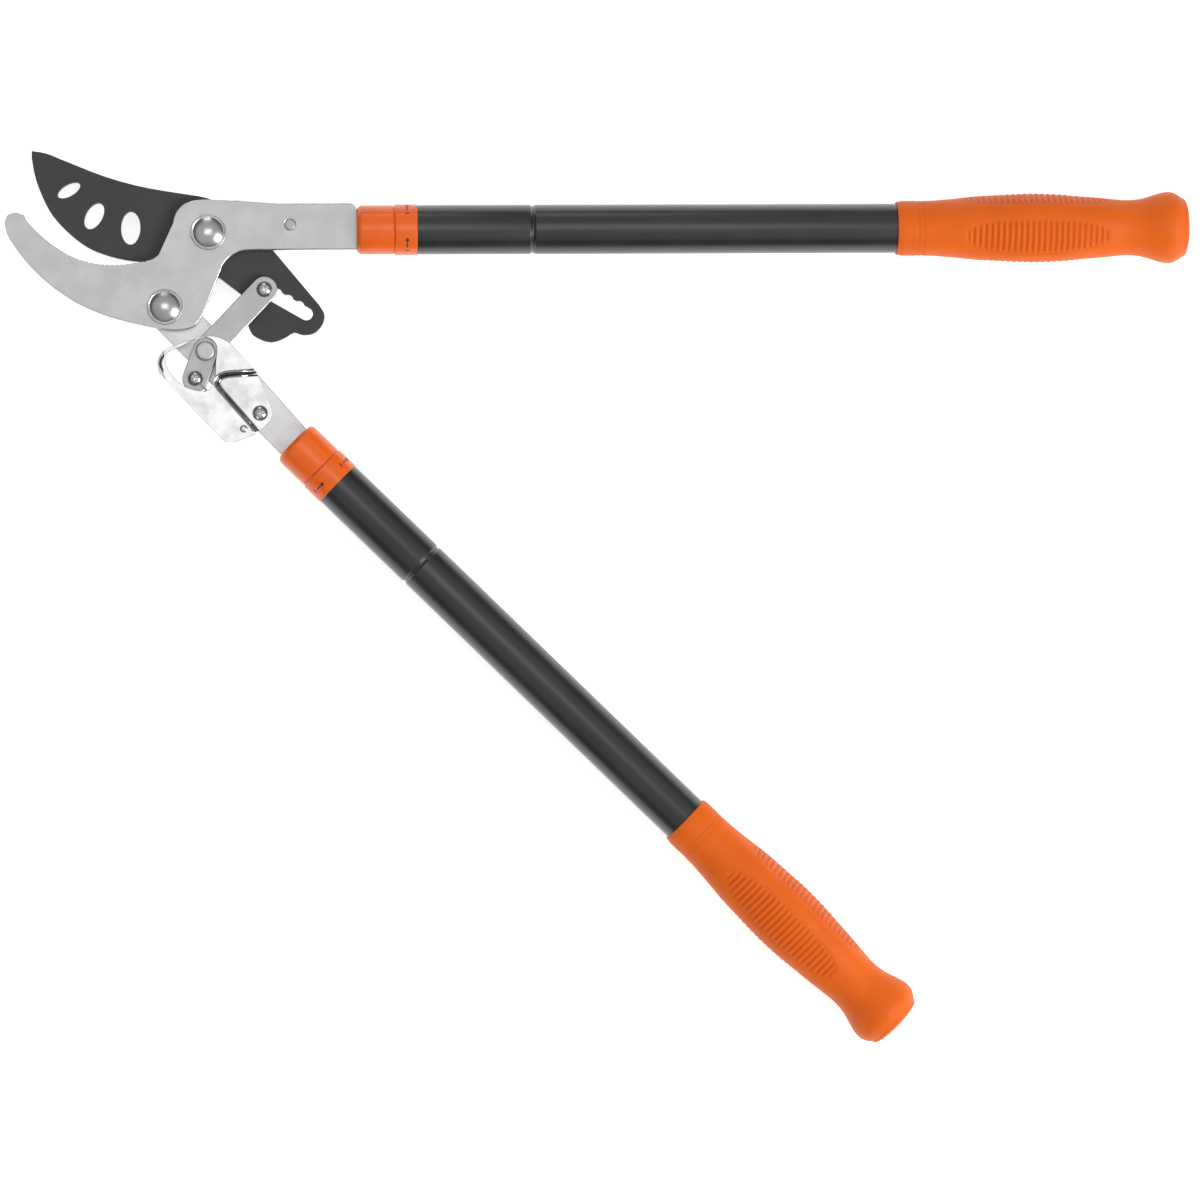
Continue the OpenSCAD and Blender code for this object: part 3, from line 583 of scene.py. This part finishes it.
def cuttingBlade():
    # The step behind the edge becomes the long ground bevel
    shape = copyOf("cutting_blade")
    backZ = bottom("cutting_blade")
    frontZ = top("cutting_blade")
    ledge = [
        f for f in shape.faces
        if f.normal.z < -0.9 and backZ + 0.5 * mm < f.calc_center_median().z < frontZ - 0.2 * mm]
    ledgeVerts = {v for f in ledge for v in f.verts}
    inner = [
        v for v in ledgeVerts
        if any(abs(e.other_vert(v).co.z - backZ) < 1e-5
               and (e.other_vert(v).co.xy - v.co.xy).length < 1e-5 for e in v.link_edges)]
    for v in inner:
        v.co.z = backZ
    bmesh.ops.remove_doubles(shape, verts=shape.verts, dist=1e-5)
    ground = shape.faces.layers.float.new("ground")
    for f in shape.faces:
        slope = -f.normal.z
        f[ground] = 1.0 if 0.3 < slope < 0.98 else 0.0
    soften(shape, rimEdges(shape, lambda p: p.z > frontZ - 1e-4), 0.3, 2)
    finishPiece("cuttingBlade", shape, "blade", coatedBlade, ["cutting_blade"], 28, plate=True)


def lowerTang():
    shape = copyOf("lower_tang")
    along = Vector(joints["lower_twist"]["pos_m"])
    soften(
        shape, rimEdges(shape, lambda p: (p - along).dot(armAxis) < -1 * mm),
        plateEdges["lowerTang"], 3)
    finishPiece("lowerTang", shape, "lower_arm", litTangSteel, ["lower_tang"], plate=True)


def linkBar():
    shape = copyOf("link_bar")
    soften(shape, rimEdges(shape), plateEdges["link"], 3)
    finishPiece("linkBar", shape, "link", shadedLinkSteel, ["link_bar"], plate=True)


hookPlate()
cuttingBlade()
lowerTang()
linkBar()
print("head plates cut")


# Bolts, nuts, screws and pins

boltHead = {"flange": 10.2, "flangeHeight": 1.2, "dome": 8.7, "domeHeight": 2.8, "shaft": 5.0}


def pivotBolt(name, node, at):
    look = boltHead
    seat = top("hook_plate")
    tip = (bottom(node) - seat) / mm
    rise = look["flangeHeight"]
    domeR = (look["dome"] ** 2 + look["domeHeight"] ** 2) / (2 * look["domeHeight"])
    swing = math.asin(look["dome"] / domeR)
    domed = [
        (rise + look["domeHeight"] - domeR + domeR * math.cos(swing * (1 - s / 14)),
         domeR * math.sin(swing * (1 - s / 14)))
        for s in range(15)]
    line = rounded([
        (tip, 0), (tip, look["shaft"] - 0.8, 0.3), (tip + 0.8, look["shaft"], 0.3),
        (0.05, look["shaft"]), (0.05, look["flange"], 0.3),
        (rise * 0.75, look["flange"], 0.5), (rise, look["flange"] - 0.5, 0.4),
        (rise * 0.72, look["dome"] + 0.35, 0.25), (rise * 0.72, look["dome"] + 0.1, 0.1)])
    discAt(name, list(line) + domed, at, seat, "head", boltChrome, [node], steps=96)


def flatWasher(name, node, bore, body, finish):
    low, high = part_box(node)
    at = (low + high) / 2
    r = (high.x - low.x) / 2 / mm
    h = (high.z - low.z) / mm
    line = rounded([(0, bore), (0, r, 0.25), (h, r, 0.25), (h, bore), (0, bore)], 3)[:-1]
    shape = standOn(lathe(line, 64, closed=True), at.x, at.y, low.z)
    finishPiece(name, shape, body, finish, [node])


def hexNut(name, node, body, turn):
    # A six-sided prism with its corners cut
    low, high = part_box(node)
    at = (low + high) / 2
    h = high.z - low.z
    shape = bmesh.new()
    ring = bmesh.ops.create_circle(
        shape, cap_ends=True, segments=6, radius=nutCorner(node))["verts"]
    hexagon = list({f for v in ring for f in v.link_faces})
    grown = bmesh.ops.extrude_face_region(shape, geom=hexagon)["geom"]
    bmesh.ops.translate(
        shape, verts=[g for g in grown if isinstance(g, bmesh.types.BMVert)], vec=(0, 0, h))
    bmesh.ops.recalc_face_normals(shape, faces=shape.faces)
    bmesh.ops.bevel(
        shape, geom=list(shape.verts), offset=0.9 * mm, offset_type="OFFSET", segments=2,
        profile=0.5, affect="VERTICES", material=-1)
    bmesh.ops.bevel(
        shape, geom=[e for e in shape.edges if e.calc_face_angle(0) > 0.6], offset=0.15 * mm,
        offset_type="OFFSET", segments=2, profile=0.5, affect="EDGES", material=-1)
    moved(shape, Matrix.Translation((at.x, at.y, low.z)) @ Matrix.Rotation(turn, 4, "Z"))
    finishPiece(name, shape, body, zincPlate, [node], 30)


def nutCorner(node):
    # Corner radius of the nut, from its longest side in the frame
    mesh = frame["nodes"][node].data
    at = middle(node)
    return max((v.co.xy - at.xy).length for v in mesh.vertices)


screwHead = {
    "cells": 26, "crossCells": 1.5, "crossArm": 0.56, "crossTaper": 0.86, "crossDepth": 1.5,
}


def panHead(name, node, body, seat, radius, rise, shaft, finish, turn=0.35):
    # A grid bent into a dome, with a cross recess pushed down into it
    look = screwHead
    at = middle(node)
    cells = look["cells"]
    shape = bmesh.new()
    bmesh.ops.create_grid(shape, x_segments=cells, y_segments=cells, size=1.0)
    half, arm = look["crossCells"] / cells * 2, look["crossArm"]

    def inCross(face):
        x, y = (abs(c) for c in face.calc_center_median().xy)
        return (x < half and y < arm) or (y < half and x < arm)

    cross = [f for f in shape.faces if inCross(f)]
    sunk = bmesh.ops.extrude_face_region(shape, geom=cross)["geom"]
    bmesh.ops.delete(shape, geom=cross, context="FACES_ONLY")
    floorVerts = {g for g in sunk if isinstance(g, bmesh.types.BMVert)}
    for v in floorVerts:
        v.co.x *= look["crossTaper"]
        v.co.y *= look["crossTaper"]
        v.co.z = -1
    ball = (radius ** 2 + rise ** 2) / (2 * rise)
    for v in shape.verts:
        u, w = v.co.x, v.co.y
        x = u * math.sqrt(max(0, 1 - w * w / 2)) * radius
        y = w * math.sqrt(max(0, 1 - u * u / 2)) * radius
        height = math.sqrt(max(0, ball * ball - x * x - y * y)) - (ball - rise)
        if v in floorVerts:
            height = rise - look["crossDepth"] + 0.5 * math.hypot(u, w)
        v.co = Vector((x * mm, y * mm, height * mm))
    rim = [e for e in shape.edges if len(e.link_faces) == 1]
    skirt = bmesh.ops.extrude_edge_only(shape, edges=rim)["geom"]
    for v in [g for g in skirt if isinstance(g, bmesh.types.BMVert)]:
        v.co.z = -0.25 * mm
        v.co.x *= 0.985
        v.co.y *= 0.985
    low = [e for e in shape.edges if len(e.link_faces) == 1]
    bmesh.ops.contextual_create(shape, geom=low)
    bmesh.ops.recalc_face_normals(shape, faces=shape.faces)
    lip = [
        e for e in shape.edges if len(e.link_faces) == 2
        and math.degrees(e.calc_face_angle(0)) > 40 and min(v.co.z for v in e.verts) > 0.1 * mm]
    bmesh.ops.bevel(
        shape, geom=lip, offset=0.1 * mm, offset_type="OFFSET", segments=2, profile=0.5,
        affect="EDGES", material=-1)
    moved(shape, Matrix.Translation((at.x, at.y, seat)) @ Matrix.Rotation(turn, 4, "Z"))
    length = (bottom(node) - seat) / mm
    pin = standOn(lathe(rounded([
        (length, 0), (length, shaft - 0.4, 0.2), (length + 0.4, shaft, 0.2), (-0.1, shaft),
        (-0.1, 0)]), 48), at.x, at.y, seat)
    joined(shape, pin)
    finishPiece(name, shape, body, finish, [node], 38)


def joined(shape, other):
    # Adds another shape's mesh to this one
    spare = bpy.data.meshes.new("spare")
    other.to_mesh(spare)
    other.free()
    shape.from_mesh(spare)
    bpy.data.meshes.remove(spare)
    return shape


def stopPin():
    at = middle("stop_pin")
    low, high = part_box("stop_pin")
    r = (high.x - low.x) / 2 / mm
    h = (high.z - low.z) / mm
    face = (top("hook_plate") - low.z) / mm
    line = rounded([
        (0, 0), (0, r, 0.3), (face - 0.1, r), (face + 0.1, r - 0.15, 0.2),
        (h - 0.25, r * 0.7, 0.6), (h - 0.2, 0)])
    discAt("stopPin", line, at, low.z, "head", shadedLinkSteel, ["stop_pin"], crease=60)


def linkRivet():
    low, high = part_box("link_rivet")
    r = (high.x - low.x) / 2 / mm
    shaft = 4.0
    h = (high.z - low.z) / mm
    headLow = (top("link_bar") + 0.1 * mm - low.z) / mm
    back = (bottom("lower_tang") - low.z) / mm
    line = rounded([
        (0, 0), (0, r * 0.5, 1.2), (back, r, 0.5), (back, shaft), (headLow, shaft),
        (headLow, r, 0.3), (h - 1.3, r, 0.5), (h - 0.75, r - 0.9, 0.5), (h - 0.6, r * 0.5, 0.8),
        (h - 0.7, r * 0.25, 0.5), (h - 0.7, 0)])
    at = (low + high) / 2
    discAt("linkRivet", line, at, low.z, "lower_arm", blastedSteel, ["link_rivet"], crease=40)


def springAnchor():
    low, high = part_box("spring_anchor")
    r = (high.x - low.x) / 2 / mm
    h = (high.z - low.z) / mm
    face = (top("spring_cover") - low.z) / mm
    line = rounded([
        (0, 0), (0, r, 0.2), (0.6, r, 0.2), (0.6, 1.5), (face + 0.03, 1.5), (face + 0.03, r, 0.2),
        (face + 0.45, r - 0.15, 0.5), (h, r * 0.45, 0.5), (h, 0)])
    discAt("springAnchor", line, (low + high) / 2, low.z, "lower_arm", boltChrome,
           ["spring_anchor"], crease=60)


pivotBolt("bladeBolt", "blade_bolt", bladePivot)
pivotBolt("handleBolt", "handle_bolt", handlePivot)
flatWasher("bladeBoltWasher", "blade_bolt_washer", 5, "head", zincPlate)
flatWasher("handleBoltWasher", "handle_bolt_washer", 5, "head", zincPlate)
flatWasher("notchWasher", "notch_washer", 3, "link", zincPlate)
hexNut("bladeBoltNut", "blade_bolt_nut", "head", 0)
hexNut("handleBoltNut", "handle_bolt_nut", "head", 0)
hexNut("notchNut", "notch_nut", "link", armTurn)
# Each screw: piece, node, body, seat, head radius, rise, shaft radius, finish and turn
panHead("notchScrew", "notch_screw", "link", top("link_bar"), 4.6, 2.2, 3.0, boltChrome)
panHead("tailScrew", "tail_screw", "link", top("tail_screw") - 2.2 * mm, 4.3, 2.2, 2.5, boltChrome,
        turn=0.9)
panHead("coverScrew", "cover_screw", "lower_arm", top("cover_screw") - 2.2 * mm, 4.5, 2.2, 2.5,
        boltChrome, turn=0.1)
stopPin()
linkRivet()
springAnchor()
print("bolts and screws turned")


# Spring cover

coverBends = {"outer": 3.0, "step": 2.3, "foot": 1.8, "thin": 0.2}
# How high the wall beside each kind of edge is, in mm
coverWalls = {"outer": (8, 14), "step": (4, 8), "foot": (3, 8), "thin": (0.8, 1.6)}


def springCover():
    # The drawn bends are wide on the outside, and the cut edges are only broken
    shape = copyOf("spring_cover")
    high = top("spring_cover")

    def wallUnder(edge, kind):
        # True where one of the edge's faces is a wall of that kind's height
        least, most = coverWalls[kind]
        for face in edge.link_faces:
            heights = [v.co.z for v in face.verts]
            if abs(face.normal.z) < 0.3 and least < (max(heights) - min(heights)) / mm < most:
                return True
        return False

    def atTop(p):
        return p.z > high - 1e-5

    window = [
        (e.verts[0].co + e.verts[1].co) / 2 for e in rimEdges(shape, atTop)
        if wallUnder(e, "thin")]

    def hasRoom(edge):
        # False where the window comes too near for the wide bend
        start, end = (v.co for v in edge.verts)
        line = end - start
        for point in window:
            share = max(0.0, min(1.0, (point - start).dot(line) / line.length_squared))
            if (start + line * share - point).length < (coverBends["outer"] + 0.3) * mm:
                return False
        return True

    # Each bend replaces the edges beside it, so every set is looked up when its turn comes
    drawn = [e for e in rimEdges(shape, atTop) if wallUnder(e, "outer") and hasRoom(e)]
    soften(shape, drawn, coverBends["outer"], 8, 0.36)
    step = [e for e in rimEdges(shape, atTop) if wallUnder(e, "step")]
    soften(shape, step, coverBends["step"], 6)
    foot = [
        e for e in rimEdges(shape, lambda p: p.z < high - 4 * mm)
        if wallUnder(e, "foot") and not e.is_convex
        and any(abs(f.normal.z) > 0.9 for f in e.link_faces)]
    soften(shape, foot, coverBends["foot"], 5)
    thin = [e for e in rimEdges(shape, atTop) if wallUnder(e, "thin")]
    soften(shape, thin, coverBends["thin"], 2)
    refill(shape, high)
    # The cover gets no painted edge highlight
    wearAndSheenLayer = shape.faces.layers.float.get("edgeWearAndSheen")
    for face in shape.faces:
        face[wearAndSheenLayer] = 0.0
    finishPiece("springCover", shape, "lower_arm", chromePlate, ["spring_cover"], 50, plate=True)


springCover()
print("cover pressed")


# Return spring

springLook = {
    "wire": 1.0, "outer": 6.4, "turns": 15, "ringSteps": 20, "turnSteps": 22,
    "coilFrom": 8.9, "coilShort": 4.4, "lift": 1.2, "tailEye": 2.6, "anchorEye": 1.7,
}


def wireBar(start, end, radius):
    # A straight wire between two points
    line = Vector(end) - Vector(start)
    shape = lathe([(0, 0), (0, radius * 0.9), (0.1, radius), (line.length / mm - 0.1, radius),
                   (line.length / mm, radius * 0.9), (line.length / mm, 0)], 12)
    turn = line.to_track_quat("X", "Z").to_matrix().to_4x4()
    return moved(shape, Matrix.Translation(start) @ turn)


def wireRing(at, bore, radius):
    shape = bmesh.new()
    circle = bmesh.ops.create_circle(shape, segments=10, radius=radius * mm)["verts"]
    bmesh.ops.transform(
        shape, verts=circle,
        matrix=Matrix.Translation(((bore + radius) * mm, 0, 0))
        @ Matrix.Rotation(math.pi / 2, 4, "X"))
    bmesh.ops.spin(
        shape, geom=list(shape.verts) + list(shape.edges), cent=(0, 0, 0), axis=(0, 0, 1),
        angle=2 * math.pi, steps=springLook["ringSteps"], use_merge=True)
    bmesh.ops.recalc_face_normals(shape, faces=shape.faces)
    return moved(shape, Matrix.Translation(at))


def returnSpring():
    look = springLook
    tail = middle("tail_screw")
    hold = middle("spring_anchor")
    line = (hold - tail).xy
    turn = math.atan2(line.y, line.x)
    direction = Vector((math.cos(turn), math.sin(turn), 0))
    wire = look["wire"] / 2
    coil = look["outer"] / 2 - wire
    axis = axisZ + look["lift"] * mm
    first = look["coilFrom"]
    last = line.length / mm - look["coilShort"]
    pitch = (last - first) / look["turns"]
    ringZ = top("link_bar") + 0.1 * mm + wire * mm
    shape = bmesh.new()
    circle = bmesh.ops.create_circle(shape, segments=10, radius=wire * mm)["verts"]
    bmesh.ops.transform(
        shape, verts=circle,
        matrix=Matrix.Translation((0, 0, coil * mm)) @ Matrix.Rotation(math.pi / 2, 4, "X"))
    turnSteps = look["turnSteps"]
    bmesh.ops.spin(
        shape, geom=list(shape.verts) + list(shape.edges), cent=(0, 0, 0), axis=(1, 0, 0),
        dvec=(pitch / turnSteps * mm, 0, 0), angle=2 * math.pi * look["turns"],
        steps=turnSteps * look["turns"])
    bmesh.ops.contextual_create(
        shape, geom=[e for e in shape.edges if len(e.link_faces) == 1][:10])
    bmesh.ops.recalc_face_normals(shape, faces=shape.faces)
    start = Vector((tail.x, tail.y, 0)) + direction * first * mm
    moved(shape, Matrix.Translation((start.x, start.y, axis)) @ Matrix.Rotation(turn, 4, "Z"))
    tailAt = Vector((tail.x, tail.y, ringZ))
    joined(shape, wireRing(tailAt, look["tailEye"], wire))
    joined(shape, wireRing(Vector((hold.x, hold.y, axis)), look["anchorEye"], wire))
    bend = tailAt + direction * (first + 0.4) * mm
    joined(shape, wireBar(tailAt + direction * 3.0 * mm, bend, wire))
    joined(shape, wireBar(bend, Vector((bend.x, bend.y, axis + coil * mm)), wire))
    out = start + direction * (last - first) * mm
    joined(shape, wireBar(
        Vector((out.x, out.y, axis)), Vector((hold.x, hold.y, axis)) - direction * 2.0 * mm, wire))
    joined(shape, wireBar(
        Vector((out.x, out.y, axis)), Vector((out.x, out.y, axis + coil * mm)), wire))
    spring = finishPiece("returnSpring", shape, None, boltChrome, [])
    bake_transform(spring)
    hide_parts("return_spring")


returnSpring()
print("spring wound")


# Handles

capShape = {"length": 21.5, "radius": 14.2}
ringShape = {"from": 22.0, "length": 13.0, "radius": 14.7}
tubeShape = {"radius": 14.3, "wall": 1.5, "grooveAt": 101.8, "grooveDepth": 0.85, "grooveHalf": 1.9}
gripShape = {
    "from": 313.5, "length": 171.0, "panelTurn": 22.0, "panelHalf": 29.0,
    "ribsFrom": 40.0, "ribsTo": 122.0, "ribPitch": 3.4, "ribDepth": 0.9, "flat": 0.9,
    "ringLines": (12.0, 14.8), "ringDepth": 0.35,
}
# Height of the grip over the tube at distances from its mouth, in mm
gripLine = [
    (0, 1.25), (6, 1.35), (11, 1.4), (16, 1.4), (21.5, 1.5), (27, 1.95), (33, 2.5), (40, 3.3),
    (50, 4.3), (62, 5.0), (74, 5.6), (82, 5.7), (95, 5.2), (107, 4.1), (118, 3.1), (128, 2.1),
    (133, 1.6), (138, 1.55), (142.5, 2.0), (147, 3.1), (152, 4.7), (156.5, 5.9), (160, 6.2),
    (163, 5.7), (166, 4.2), (168, 2.6),
]


def smoothLine(points, x):
    # Height at x on a smooth line through the points
    for i in range(len(points) - 1):
        if x <= points[i + 1][0] or i == len(points) - 2:
            break
    a, b = points[max(i - 1, 0)], points[i]
    c, d = points[i + 1], points[min(i + 2, len(points) - 1)]
    span = c[0] - b[0]
    t = (x - b[0]) / span
    slopeB = (c[1] - a[1]) / (c[0] - a[0]) * span
    slopeC = (d[1] - b[1]) / (d[0] - b[0]) * span
    return ((2 * t ** 3 - 3 * t ** 2 + 1) * b[1] + (t ** 3 - 2 * t ** 2 + t) * slopeB
            + (3 * t ** 2 - 2 * t ** 3) * c[1] + (t ** 3 - t ** 2) * slopeC)


def easeBetween(low, high, x):
    t = max(0.0, min(1.0, (x - low) / (high - low)))
    return t * t * (3 - 2 * t)


def handleCap(side, body, place):
    look = capShape
    r = look["radius"]
    line = rounded([
        (0, 0), (0, r - 2.6, 0.4), (0.5, r - 1.3, 0.9), (2.4, r, 1.4),
        (look["length"] - 0.35, r, 0.25), (look["length"], r - 0.45, 0.1),
        (look["length"] + 0.42, r - 0.5), (look["length"] + 0.42, 0)], 6)
    finishPiece(f"{side}Cap", moved(lathe(line), place), body, orangeCap, [f"{side}_cap"], 50)


def lockRing(side, body, place):
    look = ringShape
    r = look["radius"]
    start = look["from"]
    end = start + look["length"]
    line = rounded([
        (start, 13.0), (start, r - 0.4, 0.2), (start + 0.45, r, 0.3), (end - 0.3, r, 0.25),
        (end, r - 0.3, 0.15), (end, 14.1), (end, 13.0), (start, 13.0)], 4)[:-1]
    shape = moved(lathe(line, 96, closed=True), place)
    finishPiece(f"{side}LockRing", shape, body, orangeCap, [f"{side}_lock_ring"], 50)


arrowMark = {"ink": 0.03, "places": (-9.5, 14.5, 38.5, 62.5), "stem": 0.35, "tip": 1.5, "bar": 1.2}


def ringMarks(side, body, place):
    # Generic turning arrows printed round the lock ring
    look = ringShape
    stem, tip, bar = arrowMark["stem"], arrowMark["tip"], arrowMark["bar"]
    mid = look["from"] + look["length"] / 2 + 0.6
    shape = bmesh.new()

    def patch(points):
        verts = [shape.verts.new((x * mm, y * mm, 0)) for x, y in points]
        return shape.faces.new(verts)

    def box(half, low, high):
        patch([(mid - half, low), (mid + half, low), (mid + half, high), (mid - half, high)])

    for centre in arrowMark["places"]:
        box(stem, centre - 3.2, centre + 1.2)
        patch([(mid - tip, centre + 1.2), (mid + tip, centre + 1.2), (mid, centre + 3.6)])
        box(bar, centre - 6.2, centre - 5.3)
    for _ in range(2):
        bmesh.ops.subdivide_edges(
            shape, edges=[e for e in shape.edges if e.calc_length() > 0.6 * mm], cuts=2,
            use_grid_fill=True)
    bmesh.ops.triangulate(shape, faces=shape.faces)
    r = look["radius"] * mm
    for v in shape.verts:
        turn = v.co.y / r
        v.co = Vector((v.co.x, (r + arrowMark["ink"] * mm) * math.sin(turn),
                       (r + arrowMark["ink"] * mm) * math.cos(turn)))
    bmesh.ops.recalc_face_normals(shape, faces=shape.faces)
    for f in shape.faces:
        outward = Vector((0, f.calc_center_median().y, f.calc_center_median().z))
        if f.normal.dot(outward) < 0:
            f.normal_flip()
    finishPiece(f"{side}RingMarks", moved(shape, place), body, markInk)


def outerTube(side, body, place):
    look = tubeShape
    r, bore = look["radius"], look["radius"] - look["wall"]
    start = ringShape["from"] + ringShape["length"]
    end = gripShape["from"] + gripShape["length"] - 19
    at, half, deep = look["grooveAt"], look["grooveHalf"], look["grooveDepth"]
    groove = [
        (at - half + 2 * half * s / 16,
         r - deep * (0.5 + 0.5 * math.cos(math.pi * (s / 8 - 1)))) for s in range(17)]
    line = ([(start, bore), (start, r - 0.1), (start + 0.1, r)] + groove
            + [(end, r), (end, bore)])
    shape = moved(lathe(line, 96, closed=True), place)
    finishPiece(f"{side}OuterTube", shape, body, tubeCoat, [f"{side}_outer_tube"], 40)


def innerTube(side, body, place):
    # Everything it fits is turned round the same axis, so its ends come from the CAD
    mesh = frame["nodes"][f"{side}_inner_tube"].data
    back = place.inverted()
    points = [back @ v.co for v in mesh.vertices]
    start, end = min(p.x for p in points) / mm, max(p.x for p in points) / mm
    r = max(math.hypot(p.y, p.z) for p in points) / mm
    line = rounded([(start, r - 1.2), (start, r, 0.2), (end, r, 0.2), (end, r - 1.2),
                    (start, r - 1.2)], 3)[:-1]
    shape = moved(lathe(line, 96, closed=True), place)
    finishPiece(f"{side}InnerTube", shape, body, drawnAlloy, [f"{side}_inner_tube"], 40)


def grip(side, body, place):
    # Turned first, then pressed to a rounded square with four ribbed panels
    look = gripShape
    r0 = tubeShape["radius"]
    stations = []
    x = 0.0
    while x < 168:
        stations.append(x)
        x += look["ribPitch"] / 8 if look["ribsFrom"] - 3 < x < look["ribsTo"] + 3 else 0.9
    outer = [(look["from"] + x, r0 + smoothLine(gripLine, x)) for x in stations]
    outer = [(look["from"] + 0.25, r0 + 0.1), (look["from"], r0 + 0.5)] + [
        (a, b - 0.3 * (1 - easeBetween(0, 0.8, a - look["from"]))) for a, b in outer]
    endX = look["from"] + look["length"]
    lastX, lastR = outer[-1]
    dome = []
    for s in range(1, 15):
        turn = s / 14 * math.pi / 2
        dome.append((lastX + (endX - lastX) * math.sin(turn) ** 0.9,
                     lastR * math.cos(turn) ** 0.55))
    dome[-1] = (endX, 0)
    line = [(look["from"] + 0.25, r0)] + outer + dome
    line.append((endX - 14, 0))
    line.append((endX - 14, r0))
    line.append((look["from"] + 0.25, r0))
    shape = lathe(line[:-1], 144, closed=True)
    paintedGrooveShade = shape.verts.layers.float.new("paintedGrooveShade")
    middleX = (look["ribsFrom"] + look["ribsTo"]) / 2
    halfX = (look["ribsTo"] - look["ribsFrom"]) / 2
    for v in shape.verts:
        x = v.co.x / mm - look["from"]
        r = math.hypot(v.co.y, v.co.z) / mm
        if r < r0 + 0.05 or x < 2:
            continue
        turn = math.degrees(math.atan2(-v.co.y, v.co.z))
        off = (turn - look["panelTurn"] + 45) % 90 - 45  # from the nearest panel's middle
        square = easeBetween(24, 46, x) * (1 - easeBetween(124, 140, x))
        cut = look["flat"] * square * math.cos(math.radians(off * 4)) * 0.5
        reach = (x - middleX) / (halfX + 2.0)
        panel = 0.0
        if abs(reach) < 1:
            width = look["panelHalf"] * (1 - abs(reach) ** 3.2) ** 0.5
            panel = 1 - easeBetween(width - 3.0, width + 0.5, abs(off))
        wave = 0.5 - 0.5 * math.cos(2 * math.pi * (x - look["ribsFrom"]) / look["ribPitch"])
        inside = easeBetween(look["ribsFrom"] - 1, look["ribsFrom"] + 1, x) * (
            1 - easeBetween(look["ribsTo"] - 1, look["ribsTo"] + 1, x))
        groove = panel * inside * (1 - wave ** 0.7)
        edgeLine = 0.0
        if abs(reach) < 1:
            edgeLine = math.exp(-((abs(off) - width - 1.5) / 1.6) ** 2) * 0.35
        ringCut = sum(
            look["ringDepth"] * math.exp(-((x - ring) / 0.7) ** 2) for ring in look["ringLines"])
        lift = 0.3 - cut - look["ribDepth"] * groove - edgeLine * square - ringCut
        if x > 160:
            lift -= 0.3 * easeBetween(160, 166, x)
        # Marks the grooves, ring lines and panel edge lines for painted shade
        v[paintedGrooveShade] = min(1.0, groove + 1.5 * ringCut + edgeLine)
        scale = (r + lift) / r
        v.co.y *= scale
        v.co.z *= scale
    shape.normal_update()
    finishPiece(f"{side}Grip", moved(shape, place), body, orangeGrip, [f"{side}_grip"], 70)


def handle(side, fixedBody, slidingBody):
    twist = joints[f"{side}_twist"]
    axis = Vector(twist["axis"])
    turn = math.atan2(axis.y, axis.x)
    place = Matrix.Translation(twist["pos_m"]) @ Matrix.Rotation(turn, 4, "Z")
    handleCap(side, fixedBody, place)
    innerTube(side, fixedBody, place)
    lockRing(side, slidingBody, place)
    ringMarks(side, slidingBody, place)
    outerTube(side, slidingBody, place)
    grip(side, slidingBody, place)
    print(f"{side} handle made")


handle("upper", "head", "upper_sleeve")
handle("lower", "lower_arm", "lower_sleeve")


# Inner pieces that stay as they are

carried = {
    "tang_plug": blackNylon, "tang_rivets": zincPlate, "lock_core": blackNylon,
    "lock_cam": blackNylon, "lock_washer": zincPlate, "lock_screw": zincPlate,
    "guide_bush": blackNylon, "end_plug": blackNylon,
}


def dressNode(node, finish):
    data = frame["nodes"][node].data
    if not data.materials:
        data.materials.append(finish)
    for slotPlace in frame["nodes"][node].material_slots:
        slotPlace.material = finish


for side in ("upper", "lower"):
    for piece, finish in carried.items():
        dressNode(f"{side}_{piece}", finish)
for node in ("blade_slip_washer", "handle_slip_washer"):
    dressNode(node, blackNylon)


# Floor

def makeFloor():
    shape = bmesh.new()
    bmesh.ops.create_grid(shape, x_segments=8, y_segments=8, size=6)
    mesh = bpy.data.meshes.new("studioFloor")
    shape.to_mesh(mesh)
    shape.free()
    mesh.transform(Matrix.Translation((0, 0, cadLow.z - 0.3 * mm)))
    mesh.materials.append(paleFloor)
    floor = bpy.data.objects.new("studioFloor", mesh)
    bpy.context.scene.collection.objects.link(floor)


makeFloor()
print("floor laid")
